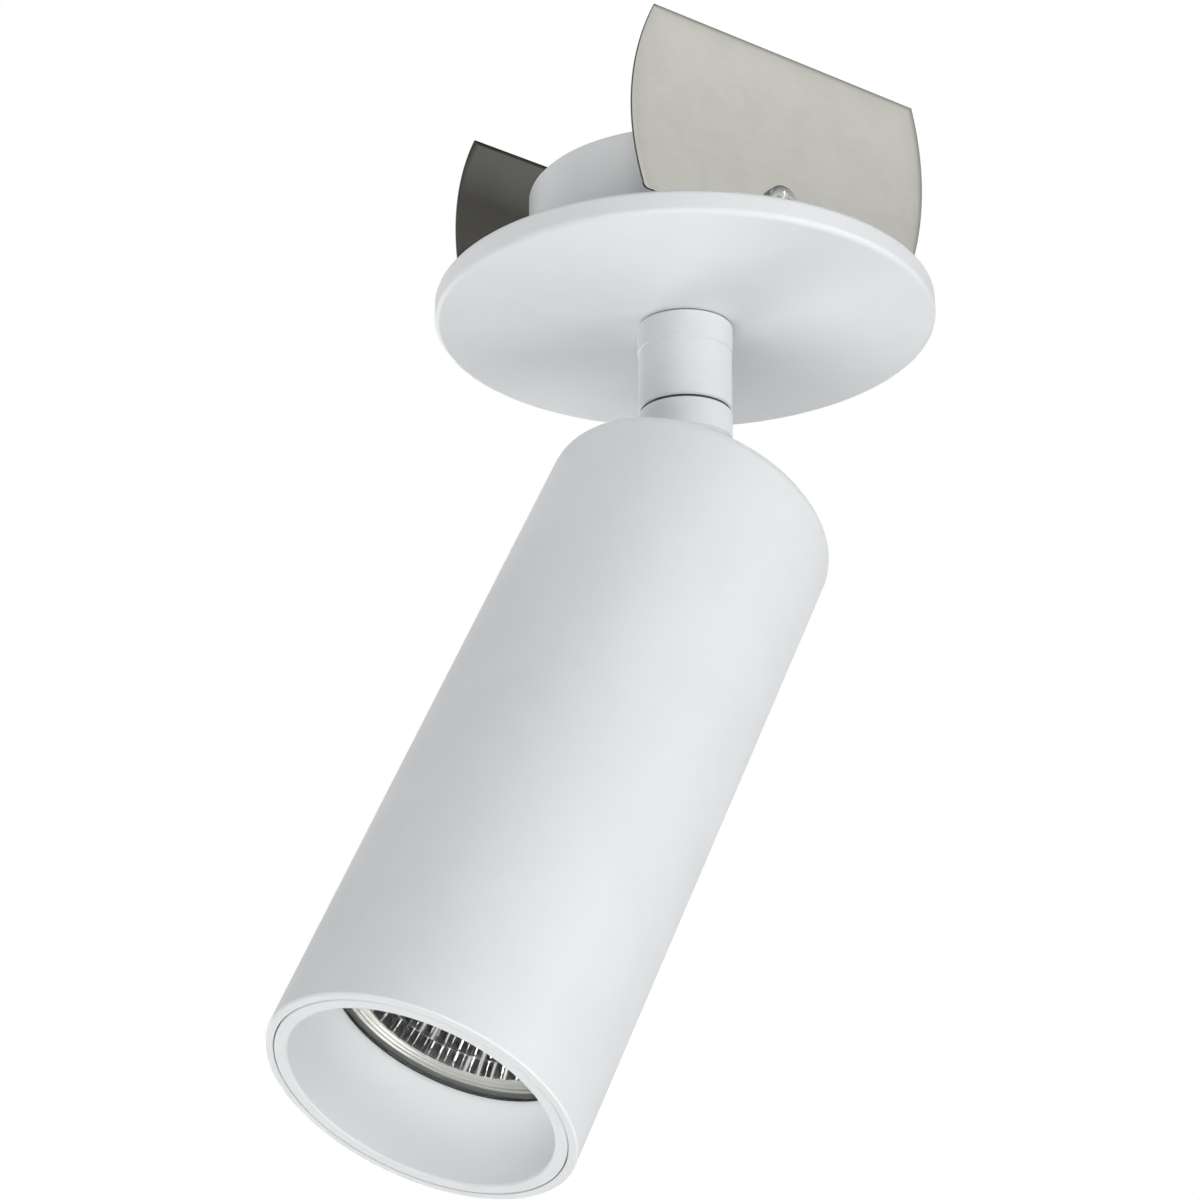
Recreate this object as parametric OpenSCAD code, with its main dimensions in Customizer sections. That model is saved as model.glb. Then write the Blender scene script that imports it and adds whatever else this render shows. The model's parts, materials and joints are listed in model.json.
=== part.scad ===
// Recessed ceiling spotlight. A round trim plate is held in a ceiling cut-out by two
// spring-steel blades, and a cylinder head hangs under it on a stem that swivels and tilts.
// Millimetres. The origin is the centre of the trim plate's back face, which lies on the
// ceiling. +Z goes up into the ceiling, and the head leans towards -Y, the front.

/* [Trim plate] */
// Diameter of the plate that shows under the ceiling
plate_d = 100; // [92:1:130]
// Thickness of the plate
plate_t = 5; // [3.6:0.1:7]
// Rounding of the plate's two edges
plate_edge_r = 1.1; // [0.3:0.1:1.6]

/* [Collar] */
// Outside diameter of the cup that goes up into the cut-out
collar_d = 62.7; // [56:0.1:68]
// Height of the cup above the plate
collar_h = 23.4; // [20:0.1:34]
// Wall of the cup
collar_wall = 2.2; // [1.6:0.1:3]
// Floor of the cup
collar_floor = 2.4; // [1.8:0.1:4]
// Width and height of the pad that each blade screw goes into
boss_w = 9; // [7:0.5:12]
// How far the pads stand in from the wall
boss_depth = 4; // [3:0.5:6]
// Distance of the collar's own screws from the axis
collar_screw_at = 20; // [16:0.5:22]

/* [Blades] */
// Thickness of the spring steel
blade_t = 0.5; // [0.3:0.1:1]
// Width of a blade at its widest
blade_w = 70.6; // [60:0.2:80]
// Radius of a blade's curved sides
blade_side_r = 53.2; // [45:0.1:90]
// Height of the widest place above the plate
blade_widest_h = 22.1; // [18:0.1:30]
// Height of the straight top edge above the plate
blade_top_h = 41.5; // [36:0.1:60]
// Height of the bottom edge above the plate
blade_bottom_h = 1.7; // [1.5:0.1:4]
// Rounding of the two lower corners
blade_corner_r = 1.2; // [0.8:0.1:4]
// Radius of the slight outward bend above the screw
blade_bend_r = 410; // [300:10:2000]
// Height of the blade screws above the plate
blade_screw_h = 8.9; // [8:0.1:13]
// Turn of the blade on the +X side about its screw, as photographed
blade_right_turn = -3; // [-3.1:0.1:3.1]
// Turn of the blade on the -X side about its screw, as photographed
blade_left_turn = -3; // [-3.1:0.1:3.1]
// Diameter of the blade screws
blade_screw_d = 3.5; // [3:0.1:4]
// Diameter of their pan heads
blade_head_d = 6.6; // [6:0.1:8]
// Height of their pan heads
blade_head_h = 2.2; // [1.6:0.1:3]

/* [Stem] */
// Diameter of the stem
stem_d = 18.56; // [16:0.02:26]
// Wall of the stem round its chamber
stem_wall = 1.73; // [1.2:0.01:3]
// How far the cap ring at the top stands out from the stem
ring_step = 0.23; // [0.1:0.01:1.5]
// Height of the cap ring
ring_h = 5.9; // [4:0.1:9]
// Thickness of the seal between the plate and the ring
seal_t = 0.3; // [0.2:0.1:1]
// Length of the upper stem, from the ring to the swivel split
upper_stem_l = 12.3; // [11:0.1:30]
// Thickness of the floor that carries the swivel bush
stem_floor = 4.5; // [4:0.1:6]
// Diameter of the hollow nipple that clamps the stem to the plate
nipple_d = 9.9; // [8:0.1:12]
// Wall of the nipple
nipple_wall = 1.65; // [1.2:0.05:2]
// Length of the thread that goes down into the cap ring
nipple_below = 8; // [5:0.1:9]
// Wall of the lock nut at its flats
nut_wall = 2.05; // [1.5:0.05:4]
// Thickness of the lock nut
nut_t = 5; // [3:0.1:6]
// Thickness of the lock washer
lock_washer_t = 1; // [0.6:0.1:1.5]
// Wall of the nylon bush that the supply cable enters by
cable_bush_wall = 0.68; // [0.5:0.02:1]

/* [Swivel] */
// Turn of the head about the stem, away from the front
swivel_rest = 8.1; // [-160:0.1:160]
// Turn to each side before the stop pin meets its lug
swivel_limit = 170; // [120:1:170]
// Diameter of the hollow bolt that the head swivels on
bolt_d = 10; // [8:0.1:11]
// Wall of the bolt round the bore for the wires
bolt_wall = 1.8; // [1.2:0.1:2.5]
// Thickness of the bolt's head
bolt_head_t = 2; // [1.4:0.1:3]
// Wall of the bronze bush round the bolt
bush_wall = 0.95; // [0.6:0.05:1.2]
// Thickness of the dark nylon washer that shows in the split
split_washer_t = 0.45; // [0.3:0.05:1]
// Diameter of the stop pin
stop_pin_d = 1.3; // [1:0.1:1.6]
// Distance of the stop pin's centre from the stem's outside
stop_pin_inset = 1.58; // [1.4:0.02:1.8]

/* [Tilt joint] */
// Length from the swivel split down to the tilt axis
lower_stem_l = 24.74; // [22:0.1:40]
// Tilt of the head from straight down, as photographed
tilt_rest = 27.7; // [0:0.1:45]
// Largest tilt
tilt_max = 54; // [46:1:58]
// Depth of the tilt axis below the head's top face
pivot_depth = 3.2; // [3.2:0.1:5]
// Thickness of the stem's flat tongue
tongue_t = 11.6; // [10:0.1:14]
// Width of the tongue
tongue_w = 16; // [12:0.5:18]
// Diameter of the two pivot screws' threads
pivot_screw_d = 5; // [4:0.1:5.4]
// Diameter of their plain noses
pivot_nose_d = 3.5; // [3:0.1:3.6]
// Length of their threads
pivot_thread_l = 10; // [6:0.5:14]
// Thickness of the friction washers beside the tongue
friction_washer_t = 0.35; // [0.2:0.05:0.6]

/* [Head] */
// Outside diameter of the head
head_d = 57.76; // [50:0.02:76]
// Length of the head
head_l = 141.5; // [130:0.5:180]
// Wall of the head's tube
shell_wall = 1.63; // [1.2:0.01:2.5]
// Rounding of the head's top edge
shell_top_r = 3; // [1:0.1:4]
// Thickness of the tube's turned-in top lip
shell_lip_t = 2; // [1.5:0.1:3]
// Width of that lip
shell_lip_w = 4.9; // [4.5:0.1:6]
// Thickness of the cap under the lip
cap_flange_t = 8.2; // [7:0.1:12]

/* [Heat sink] */
// Length of the spacer posts between cap and heat sink
post_l = 14; // [8:0.5:20]
// Distance of the posts from the head's axis
post_at = 12; // [11:0.5:13]
// Width across the flats of the posts
post_af = 6; // [5:0.5:7]
// Diameter of the heat sink's core
sink_core_d = 35; // [30:0.1:42]
// Number of fins
fin_count = 24; // [12:1:32]
// Thickness of a fin
fin_t = 1.4; // [1:0.1:2]

/* [Light engine] */
// Side of the square LED board
board_w = 19; // [16:0.5:20]
// Thickness of the LED board
board_t = 1.2; // [0.8:0.1:2]
// Diameter of the light-emitting disc
emitter_d = 14; // [9:0.5:15]
// Thickness of the light-emitting disc
emitter_t = 0.6; // [0.4:0.1:1]
// How far the plastic holder over the board stands in from the core's edge
holder_inset = 0.5; // [0:0.1:2]
// Height of the holder
holder_h = 4.4; // [3.6:0.1:7]
// Distance of the holder's screws from its edge
holder_screw_inset = 3.2; // [2.8:0.1:4]

/* [Reflector] */
// Height of the reflector's bowl
reflector_h = 29.3; // [22:0.1:36]
// Width of the bright flange round the bowl's mouth
reflector_flange_w = 5.2; // [3:0.1:8]
// Diameter of the opening at the light source
reflector_neck_d = 17.6; // [16:0.2:20]
// Wall of the reflector
reflector_wall = 1.2; // [0.8:0.1:1.6]
// Thickness of its flange
reflector_flange_t = 1.2; // [0.8:0.1:2]
// Mirror facets round the bowl
facet_count = 48; // [24:1:64]
// Rows of mirror facets from neck to mouth
facet_rows = 10; // [6:1:14]

/* [Baffle and lens] */
// Width of the baffle's lip round the mouth
lip_w = 2.38; // [2:0.02:5]
// How much the radius narrows from the mouth to the lens
baffle_taper = 0.82; // [0:0.02:6]
// Depth of the baffle from the mouth to the lens seat
baffle_depth = 17.7; // [12:0.1:30]
// Wall of the baffle's cone
baffle_wall = 1.3; // [1:0.1:1.5]
// Thickness of the baffle's lip at the mouth
lip_t = 2; // [1:0.1:3]
// Thickness of the flange that carries the lens
seat_t = 2; // [1:0.1:3]
// Gap between the lip and the tube
lip_gap = 0.2; // [0.1:0.05:0.5]
// Thickness of the lens
lens_t = 2; // [1:0.1:3]
// How far the lens reaches over its seat
lens_overlap = 1.65; // [1:0.05:2.4]
// Thickness of the seal under the lens
gasket_t = 0.4; // [0.3:0.1:1]

/* [Hidden] */
$fn = 64;

white = [0.9, 0.91, 0.91];
steel = [0.7, 0.69, 0.66];
dark = [0.12, 0.12, 0.12];
brass = [0.78, 0.66, 0.38];

// Radial clearance of a thread or a pressed piece, of a running fit, and of a loose hole
snug = 0.02;
running = 0.05;
loose = 0.2;
// Overlap of a cutting tool past the face that it cuts
past = 1;

collar_r = collar_d/2;
collar_screw_d = 3;
collar_screw_grip = 2.6;
blade_x = collar_r + 0.15;
blade_head_gap = 0.1;
// A blade is flat from its bottom edge to a little above its screw's head
blade_flat_up = blade_head_d/2 + 0.2;

ring_d = stem_d + 2*ring_step;
nipple_bore_d = nipple_d - 2*nipple_wall;
cable_bore_d = nipple_bore_d - 2*snug - 2*cable_bush_wall;
nut_af = nipple_d + 2*nut_wall;
ring_top_z = -plate_t - seal_t;
ring_bottom_z = ring_top_z - ring_h;
stem_split_z = ring_bottom_z - upper_stem_l;
chamber_d = stem_d - 2*stem_wall;
floor_top_z = stem_split_z + stem_floor;
bush_flange_t = 0.7;
spring_h = 0.85;
bolt_head_z = floor_top_z + bush_flange_t + spring_h + running;
lower_top_z = stem_split_z - running - split_washer_t;
// The cap ring's spigot ends a little above the bolt's head
spigot_l = ring_bottom_z - bolt_head_z - bolt_head_t - 0.9;
bolt_thread_l = 6;
bolt_head_d = chamber_d - 1.5;
wire_bore_d = bolt_d - 2*bolt_wall;
bush_bore_d = bolt_d + 2*running;
bush_d = bush_bore_d + 2*bush_wall;
groove_w = 1.7;
groove_depth = 1.6;
stop_pin_up = 1.2;
stop_pin_at = stem_d/2 - stop_pin_inset;

pivot_z = lower_top_z - lower_stem_l;
washer_gap = 0.03;
slot_w = tongue_t + 2*friction_washer_t + 4*washer_gap;
tongue_room = 0.5;
shoulder_room = 0.45;
// The stem's full round ends where it would touch the head's top face at the largest tilt
shoulder_s = (pivot_depth + shoulder_room + stem_d/2*sin(tilt_max))/cos(tilt_max);
shoulder_h = 3.1;

head_top = pivot_depth;
mouth_z = head_top - head_l;
bore_r = head_d/2 - shell_wall;
cap_r = bore_r - running;
cap_bottom = head_top - shell_lip_t - cap_flange_t;
sink_top = cap_bottom - post_l;
seat_z = mouth_z + baffle_depth;
lens_z = seat_z + gasket_t;
flange_z = lens_z + lens_t;
mouth_r = bore_r - lip_gap - lip_w;
inner_r = mouth_r - baffle_taper;
lens_r = inner_r + lens_overlap;
bowl_mouth_r = lens_r - reflector_flange_w;
neck_z = flange_z + reflector_h;
board_z = neck_z + holder_h;
// The heat sink takes up what is left of the tube
sink_l = sink_top - board_z;
sink_r = bore_r - 0.45;
holder_r = sink_core_d/2 - holder_inset;
holder_screw_at = holder_r - holder_screw_inset;
wire_hole_d = 4;
post_stud_d = 3;
post_stud_l = 5;
holder_screw_d = 2.5;
lock_top_z = collar_floor + lock_washer_t + nut_t;
nipple_top_z = lock_top_z + 2.1;

// Points on an arc about [x, y], from angle a to angle b
function arc(x, y, r, a, b, n = 8) =
    [for (i = [0:n]) [x + r*cos(a + (b - a)*i/n), y + r*sin(a + (b - a)*i/n)]];

// Half the width of a blade at a height above the plate
function blade_half(h) =
    blade_w/2 - blade_side_r + sqrt(pow(blade_side_r, 2) - pow(h - blade_widest_h, 2));

// The arm's own frame: origin on the tilt axis, +X to the side that the head leans to
module on_arm() {
    translate([0, 0, pivot_z]) rotate([0, 0, swivel_rest - 90]) children();
}

// The head's own frame: origin on the tilt axis, +Z along the head's axis to its top
module on_head() {
    on_arm() rotate([0, -tilt_rest, 0]) children();
}

// A ring or tube from z0 up to z1
module tube(d_out, d_in, z0, z1) {
    difference() {
        translate([0, 0, z0]) cylinder(d = d_out, h = z1 - z0);
        translate([0, 0, z0 - past]) cylinder(d = d_in, h = z1 - z0 + 2*past);
    }
}

// A cross recess, cut down from z = 0
module cross_recess(size, depth) {
    for (a = [0, 90]) {
        rotate([0, 0, a]) translate([-size/2, -size/8, -depth]) cube([size, size/4, depth + past]);
    }
}

// Turned plate with both edges rounded, a hole for the nipple and three tapped holes
module trim_plate() {
    r = plate_d/2 - plate_edge_r;
    color(white) difference() {
        rotate_extrude() polygon(concat(
            [[0, 0]],
            arc(r, -plate_edge_r, plate_edge_r, 90, 0),
            arc(r, plate_edge_r - plate_t, plate_edge_r, 0, -90),
            [[0, -plate_t]]
        ));
        translate([0, 0, -plate_t - past]) cylinder(d = nipple_d + 2*loose, h = plate_t + 2*past);
        at_collar_screws() translate([0, 0, -collar_screw_grip - 0.3])
            cylinder(d = collar_screw_d + 2*snug, h = collar_screw_grip + past);
    }
}

module at_collar_screws() {
    for (a = [90, 210, 330]) rotate([0, 0, a]) translate([collar_screw_at, 0, 0]) children();
}

// Cup with a floor that lies on the plate and two inside pads for the blade screws
module mounting_collar() {
    inner = collar_r - collar_wall;
    edge = 0.4;
    pad_l = boss_depth + collar_wall/2;
    color(white) difference() {
        union() {
            rotate_extrude() polygon([
                [0, 0], [collar_r, 0],
                [collar_r, collar_h - edge], [collar_r - edge, collar_h],
                [inner + edge, collar_h], [inner, collar_h - edge],
                [inner, collar_floor], [0, collar_floor]
            ]);
            for (a = [0, 180]) rotate([0, 0, a])
                translate([inner - boss_depth, -boss_w/2, blade_screw_h - boss_w/2])
                    cube([pad_l, boss_w, boss_w]);
        }
        translate([0, 0, -past]) cylinder(d = nipple_d + 2*loose, h = collar_floor + 2*past);
        at_collar_screws() {
            translate([0, 0, -past]) cylinder(d = collar_screw_d + 2*loose, h = collar_floor + 2*past);
            translate([0, 0, collar_floor - collar_screw_d/2 - 0.1])
                cylinder(r1 = collar_screw_d/2 + loose, r2 = collar_screw_d + 0.3 + loose, h = collar_screw_d/2 + 0.2);
        }
        for (a = [0, 180]) rotate([0, 0, a]) translate([inner - boss_depth - past, 0, blade_screw_h])
            rotate([0, 90, 0]) cylinder(d = blade_screw_d + 2*snug, h = collar_wall + boss_depth + 2*past);
    }
}

// Three countersunk screws that hold the collar to the plate
module collar_screws() {
    color(steel) at_collar_screws() difference() {
        union() {
            translate([0, 0, -collar_screw_grip])
                cylinder(d = collar_screw_d, h = collar_screw_grip + collar_floor - 0.2);
            translate([0, 0, collar_floor - collar_screw_d/2 - 0.1])
                cylinder(r1 = collar_screw_d/2, r2 = collar_screw_d, h = collar_screw_d/2);
        }
        translate([0, 0, collar_floor - 0.1]) cross_recess(collar_screw_d, 1);
    }
}

// The blade's outline about its screw: two arcs, a straight top and rounded lower corners
module blade_outline() {
    low = blade_bottom_h - blade_screw_h;
    top = blade_top_h - blade_screw_h;
    waist = low + blade_corner_r;
    half = blade_half(blade_bottom_h + blade_corner_r);
    offset_x = blade_side_r - blade_w/2;
    intersection() {
        translate([offset_x, blade_widest_h - blade_screw_h]) circle(r = blade_side_r, $fn = 160);
        translate([-offset_x, blade_widest_h - blade_screw_h]) circle(r = blade_side_r, $fn = 160);
        union() {
            translate([-blade_w/2, waist]) square([blade_w, top - waist]);
            translate([blade_corner_r - half, low]) square([2*(half - blade_corner_r), blade_corner_r + past]);
            for (s = [-1, 1]) translate([s*(half - blade_corner_r), waist]) circle(r = blade_corner_r);
        }
    }
}

// A spring-steel blade about its screw: flat beside the collar and bent slightly outwards above it
module blade_sheet() {
    reach = blade_t + 4;
    intersection() {
        rotate([90, 0, 90]) linear_extrude(reach) blade_outline();
        union() {
            translate([0, -blade_w, -2*blade_screw_h])
                cube([blade_t, 2*blade_w, 2*blade_screw_h + blade_flat_up]);
            intersection() {
                translate([blade_bend_r, 0, blade_flat_up]) rotate([90, 0, 0]) difference() {
                    cylinder(r = blade_bend_r, h = 2*blade_w, center = true, $fn = 720);
                    cylinder(r = blade_bend_r - blade_t, h = 2*blade_w + 2*past, center = true, $fn = 720);
                }
                translate([-past, -2*blade_w, blade_flat_up])
                    cube([reach + 2*past, 4*blade_w, blade_top_h]);
            }
        }
    }
}

// The blade with its hole, turned about the one screw that holds it
module blade(turn) {
    translate([blade_x, 0, blade_screw_h]) rotate([turn, 0, 0]) difference() {
        blade_sheet();
        translate([-past, 0, 0]) rotate([0, 90, 0])
            cylinder(d = blade_screw_d + 2*running, h = blade_t + 2*past);
    }
}

module blade_right() {
    color(steel) blade(blade_right_turn);
}

module blade_left() {
    color(steel) rotate([0, 0, 180]) blade(-blade_left_turn);
}

// Two pan-head screws through the blades into the collar's pads
module blade_screws() {
    seat_x = blade_x + blade_t + blade_head_gap;
    shank_l = blade_t + blade_head_gap + collar_wall + boss_depth - 1;
    r = blade_head_d/2;
    color(steel) for (a = [0, 180]) rotate([0, 0, a]) translate([seat_x, 0, blade_screw_h]) rotate([0, 90, 0]) {
        difference() {
            union() {
                rotate_extrude() polygon(concat(
                    [[0, 0], [r, 0], [r, blade_head_h*0.4]],
                    arc(r - blade_head_h*0.6, blade_head_h*0.4, blade_head_h*0.6, 0, 90),
                    [[0, blade_head_h]]
                ));
                translate([0, 0, -shank_l]) cylinder(d = blade_screw_d, h = shank_l + 0.1);
            }
            translate([0, 0, blade_head_h]) cross_recess(blade_head_d*0.6, blade_head_h*0.5);
        }
    }
}

// Thin dark seal that shows as a line between the plate and the stem
module seat_seal() {
    color(dark) tube(ring_d - 1.4, nipple_d + 2*loose, ring_top_z, -plate_t);
}

module hollow_nipple() {
    color(brass) tube(nipple_d, nipple_bore_d, ring_top_z - nipple_below, nipple_top_z);
}

// Toothed washer, with its teeth as notches round the rim
module lock_washer() {
    teeth = 12;
    rim_r = nut_af/2 + 1;
    color(steel) difference() {
        tube(2*rim_r, nipple_d + 2*loose, collar_floor, collar_floor + lock_washer_t);
        for (i = [0:teeth - 1]) rotate([0, 0, 360*i/teeth])
            translate([rim_r - 1, -0.5, collar_floor - past]) cube([2, 1, lock_washer_t + 2*past]);
    }
}

module lock_nut() {
    z0 = collar_floor + lock_washer_t;
    color(brass) difference() {
        translate([0, 0, z0]) cylinder(d = nut_af/cos(30), h = nut_t, $fn = 6);
        translate([0, 0, z0 - past]) cylinder(d = nipple_d + 2*snug, h = nut_t + 2*past);
    }
}

// Flanged nylon bush in the top of the nipple, where the supply cable goes in
module cable_bush() {
    flange_t = 1.5;
    bush_l = 6;
    color(dark) difference() {
        union() {
            translate([0, 0, nipple_top_z]) cylinder(d = nipple_d + 1.6, h = flange_t);
            translate([0, 0, nipple_top_z - bush_l]) cylinder(d = nipple_bore_d - 2*snug, h = bush_l + 0.1);
        }
        translate([0, 0, nipple_top_z - bush_l - past]) cylinder(d = cable_bore_d, h = bush_l + flange_t + 2*past);
    }
}

// Ring that closes the top of the stem and screws onto the nipple
module stem_cap_ring() {
    edge = 0.25;
    r = ring_d/2;
    spigot_r = chamber_d/2 - snug;
    color(white) difference() {
        rotate_extrude() polygon([
            [0, ring_top_z], [r - edge, ring_top_z], [r, ring_top_z - edge],
            [r, ring_bottom_z + edge], [r - edge, ring_bottom_z], [spigot_r, ring_bottom_z],
            [spigot_r, ring_bottom_z - spigot_l], [0, ring_bottom_z - spigot_l]
        ]);
        translate([0, 0, ring_bottom_z - spigot_l - past])
            cylinder(d = nipple_bore_d, h = spigot_l + ring_h + 2*past);
        translate([0, 0, ring_top_z - nipple_below]) cylinder(d = nipple_d + 2*snug, h = nipple_below + past);
    }
}

// Turned tube with a chamber for the swivel bolt's head, and a stop groove underneath
module upper_stem() {
    edge = 0.3;
    r = stem_d/2;
    lug_angle = 360 - 2*swivel_limit - 2*asin(stop_pin_d/2/stop_pin_at) - 1;
    color(white) difference() {
        rotate_extrude() polygon([
            [bush_d/2, floor_top_z], [chamber_d/2, floor_top_z], [chamber_d/2, ring_bottom_z],
            [r, ring_bottom_z], [r, stem_split_z + edge], [r - edge, stem_split_z],
            [bush_d/2, stem_split_z]
        ]);
        difference() {
            tube(2*stop_pin_at + groove_w, 2*stop_pin_at - groove_w, stem_split_z - past, stem_split_z + groove_depth);
            translate([0, 0, stem_split_z - 2*past]) rotate([0, 0, 90]) linear_extrude(groove_depth + 4*past)
                polygon([[0, 0], [stem_d, stem_d*tan(lug_angle/2)], [stem_d, -stem_d*tan(lug_angle/2)]]);
        }
    }
}

module swivel_bush() {
    color(brass) difference() {
        union() {
            translate([0, 0, stem_split_z + 0.3]) cylinder(d = bush_d - 2*snug, h = stem_floor);
            translate([0, 0, floor_top_z]) cylinder(d = chamber_d - 2*loose, h = bush_flange_t);
        }
        translate([0, 0, stem_split_z - past]) cylinder(d = bush_bore_d, h = stem_floor + 4*past);
    }
}

// Cone-shaped spring washer that keeps the swivel stiff
module disc_spring() {
    z0 = bolt_head_z - spring_h;
    spring_t = 0.5;
    inner = bolt_d/2 + 0.15;
    outer = bolt_head_d/2;
    color(steel) rotate_extrude() polygon([
        [outer, z0], [outer, z0 + spring_t], [inner, z0 + spring_h], [inner, z0 + spring_h - spring_t]
    ]);
}

// Hollow bolt: its head turns in the upper stem, its thread is fast in the lower stem
module swivel_bolt() {
    z0 = lower_top_z - bolt_thread_l;
    color(steel) difference() {
        union() {
            translate([0, 0, z0]) cylinder(d = bolt_d, h = bolt_head_z - z0 + 0.1);
            translate([0, 0, bolt_head_z]) cylinder(d = bolt_head_d, h = bolt_head_t);
        }
        translate([0, 0, z0 - past]) cylinder(d = wire_bore_d, h = bolt_head_z + bolt_head_t - z0 + 2*past);
        translate([0, 0, bolt_head_z + bolt_head_t/2])
            cylinder(d = (bolt_d - 2)/cos(30), h = bolt_head_t/2 + past, $fn = 6);
    }
}

// Dark nylon washer in the swivel split, with a hole for the stop pin
module split_washer() {
    color(dark) difference() {
        tube(stem_d - 0.6, bolt_d + 2*loose, lower_top_z, lower_top_z + split_washer_t);
        at_stop_pin() cylinder(d = stop_pin_d + 2*running, h = 3*past, center = true);
    }
}

module at_stop_pin() {
    translate([0, 0, lower_top_z]) rotate([0, 0, swivel_rest - 90]) translate([stop_pin_at, 0, 0]) children();
}

module stop_pin() {
    below = 3;
    above = split_washer_t + running + stop_pin_up;
    color(steel) at_stop_pin() translate([0, 0, -below]) cylinder(d = stop_pin_d, h = below + above);
}

// Turned stem that narrows to a flat tongue with a round end, bored for the wires
module lower_stem() {
    edge = 0.3;
    r = stem_d/2;
    top = lower_stem_l;
    color(white) on_arm() difference() {
        union() {
            rotate_extrude() polygon([
                [0, shoulder_s - shoulder_h], [tongue_t/2, shoulder_s - shoulder_h], [r, shoulder_s],
                [r, top - edge], [r - edge, top], [0, top]
            ]);
            translate([-tongue_w/2, -tongue_t/2, 0]) cube([tongue_w, tongue_t, shoulder_s - 0.5]);
            rotate([90, 0, 0]) cylinder(d = tongue_w, h = tongue_t, center = true);
        }
        translate([0, 0, -tongue_w]) cylinder(d = wire_bore_d, h = top + tongue_w + past);
        translate([0, 0, top - bolt_thread_l - 0.3]) cylinder(d = bolt_d + 2*snug, h = bolt_thread_l + past);
        rotate([90, 0, 0]) cylinder(d = pivot_nose_d + 2*running, h = tongue_t + 2*past, center = true);
        translate([stop_pin_at, 0, top - 3.1]) cylinder(d = stop_pin_d + 2*snug, h = 3.1 + past);
    }
}

// Two screws with plain noses that carry the tongue, one from each side of the cap
module pivot_screws() {
    nose_from = wire_bore_d/2 + 0.4;
    thread_from = slot_w/2 + 0.2;
    color(steel) on_head() for (s = [-1, 1]) scale([1, s, 1]) rotate([-90, 0, 0]) difference() {
        union() {
            translate([0, 0, nose_from]) cylinder(d = pivot_nose_d, h = thread_from - nose_from + 0.1);
            translate([0, 0, thread_from]) cylinder(d = pivot_screw_d, h = pivot_thread_l);
        }
        translate([0, 0, thread_from + pivot_thread_l - 2]) cylinder(d = 2.5/cos(30), h = 3, $fn = 6);
    }
}

// Thin nylon washers between the tongue and the slot's walls
module friction_washers() {
    from = tongue_t/2 + washer_gap;
    color(dark) on_head() for (s = [-1, 1]) scale([1, s, 1]) rotate([-90, 0, 0])
        tube(2*pivot_depth - 0.2, pivot_nose_d + 2*running, from, from + friction_washer_t);
}

// Long tube with a turned-in lip and a rounded top edge
module head_shell() {
    r = head_d/2;
    edge = 0.3;
    bend = max(shell_top_r - shell_wall, 0.2);
    color(white) on_head() rotate_extrude() polygon(concat(
        [[r - shell_lip_w, head_top]],
        arc(r - shell_top_r, head_top - shell_top_r, shell_top_r, 90, 0),
        [[r, mouth_z + edge], [r - edge, mouth_z], [bore_r, mouth_z]],
        arc(bore_r - bend, head_top - shell_lip_t - bend, bend, 0, 90),
        [[r - shell_lip_w, head_top - shell_lip_t]]
    ));
}

// Plug under the lip: its top is flush with the lip, and its slot takes the tongue
module head_cap() {
    bend = max(shell_top_r - shell_wall, 0.2);
    hub_r = head_d/2 - shell_lip_w - running;
    under_lip = head_top - shell_lip_t - running;
    color(white) on_head() difference() {
        rotate_extrude() polygon([
            [0, cap_bottom], [cap_r, cap_bottom], [cap_r, under_lip - bend],
            [cap_r - bend, under_lip], [hub_r, under_lip], [hub_r, head_top], [0, head_top]
        ]);
        tongue_slot();
        rotate([90, 0, 0]) cylinder(d = pivot_screw_d + 2*snug, h = head_d, center = true);
        at_posts() translate([0, 0, cap_bottom - past])
            cylinder(d = post_stud_d + 2*snug, h = post_stud_l + past + 0.3);
    }
}

// The space that the tongue sweeps from straight down to the largest tilt
module tongue_slot() {
    r = tongue_w/2 + tongue_room;
    top = head_top + past;
    reach = (top + r*sin(tilt_max))/cos(tilt_max);
    rotate([90, 0, 0]) linear_extrude(slot_w, center = true) {
        circle(r = r);
        polygon([
            [0, 0], [-r, 0], [-r, top],
            [r*cos(tilt_max) + reach*sin(tilt_max), top],
            [r*cos(tilt_max), -r*sin(tilt_max)]
        ]);
    }
}

module at_posts() {
    for (a = [60, 180, 300]) rotate([0, 0, a]) translate([post_at, 0, 0]) children();
}

// Hexagonal posts with a threaded stud at each end
module spacer_posts() {
    color(brass) on_head() at_posts() {
        translate([0, 0, sink_top]) cylinder(d = post_af/cos(30), h = post_l, $fn = 6);
        translate([0, 0, sink_top - post_stud_l]) cylinder(d = post_stud_d, h = post_l + 2*post_stud_l);
    }
}

// Extruded aluminium star: a round core with a ring of straight fins
module heat_sink() {
    color([0.75, 0.76, 0.78]) on_head() difference() {
        translate([0, 0, board_z]) linear_extrude(sink_l) {
            circle(d = sink_core_d);
            for (i = [0:fin_count - 1]) rotate(360*i/fin_count)
                translate([sink_core_d/2 - 1, -fin_t/2]) square([sink_r - sink_core_d/2 + 1, fin_t]);
        }
        at_posts() translate([0, 0, sink_top - post_stud_l - 0.3])
            cylinder(d = post_stud_d + 2*snug, h = post_stud_l + past);
        at_holder_screws() translate([0, 0, board_z - past])
            cylinder(d = holder_screw_d + 2*snug, h = 6 + past);
        translate([post_at, 0, board_z - past]) cylinder(d = wire_hole_d, h = sink_l + 2*past);
    }
}

module at_holder_screws() {
    for (a = [90, 270]) rotate([0, 0, a]) translate([holder_screw_at, 0, 0]) children();
}

module led_board() {
    color([0.8, 0.8, 0.76]) on_head() translate([-board_w/2, -board_w/2, board_z - board_t])
        cube([board_w, board_w, board_t]);
}

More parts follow.
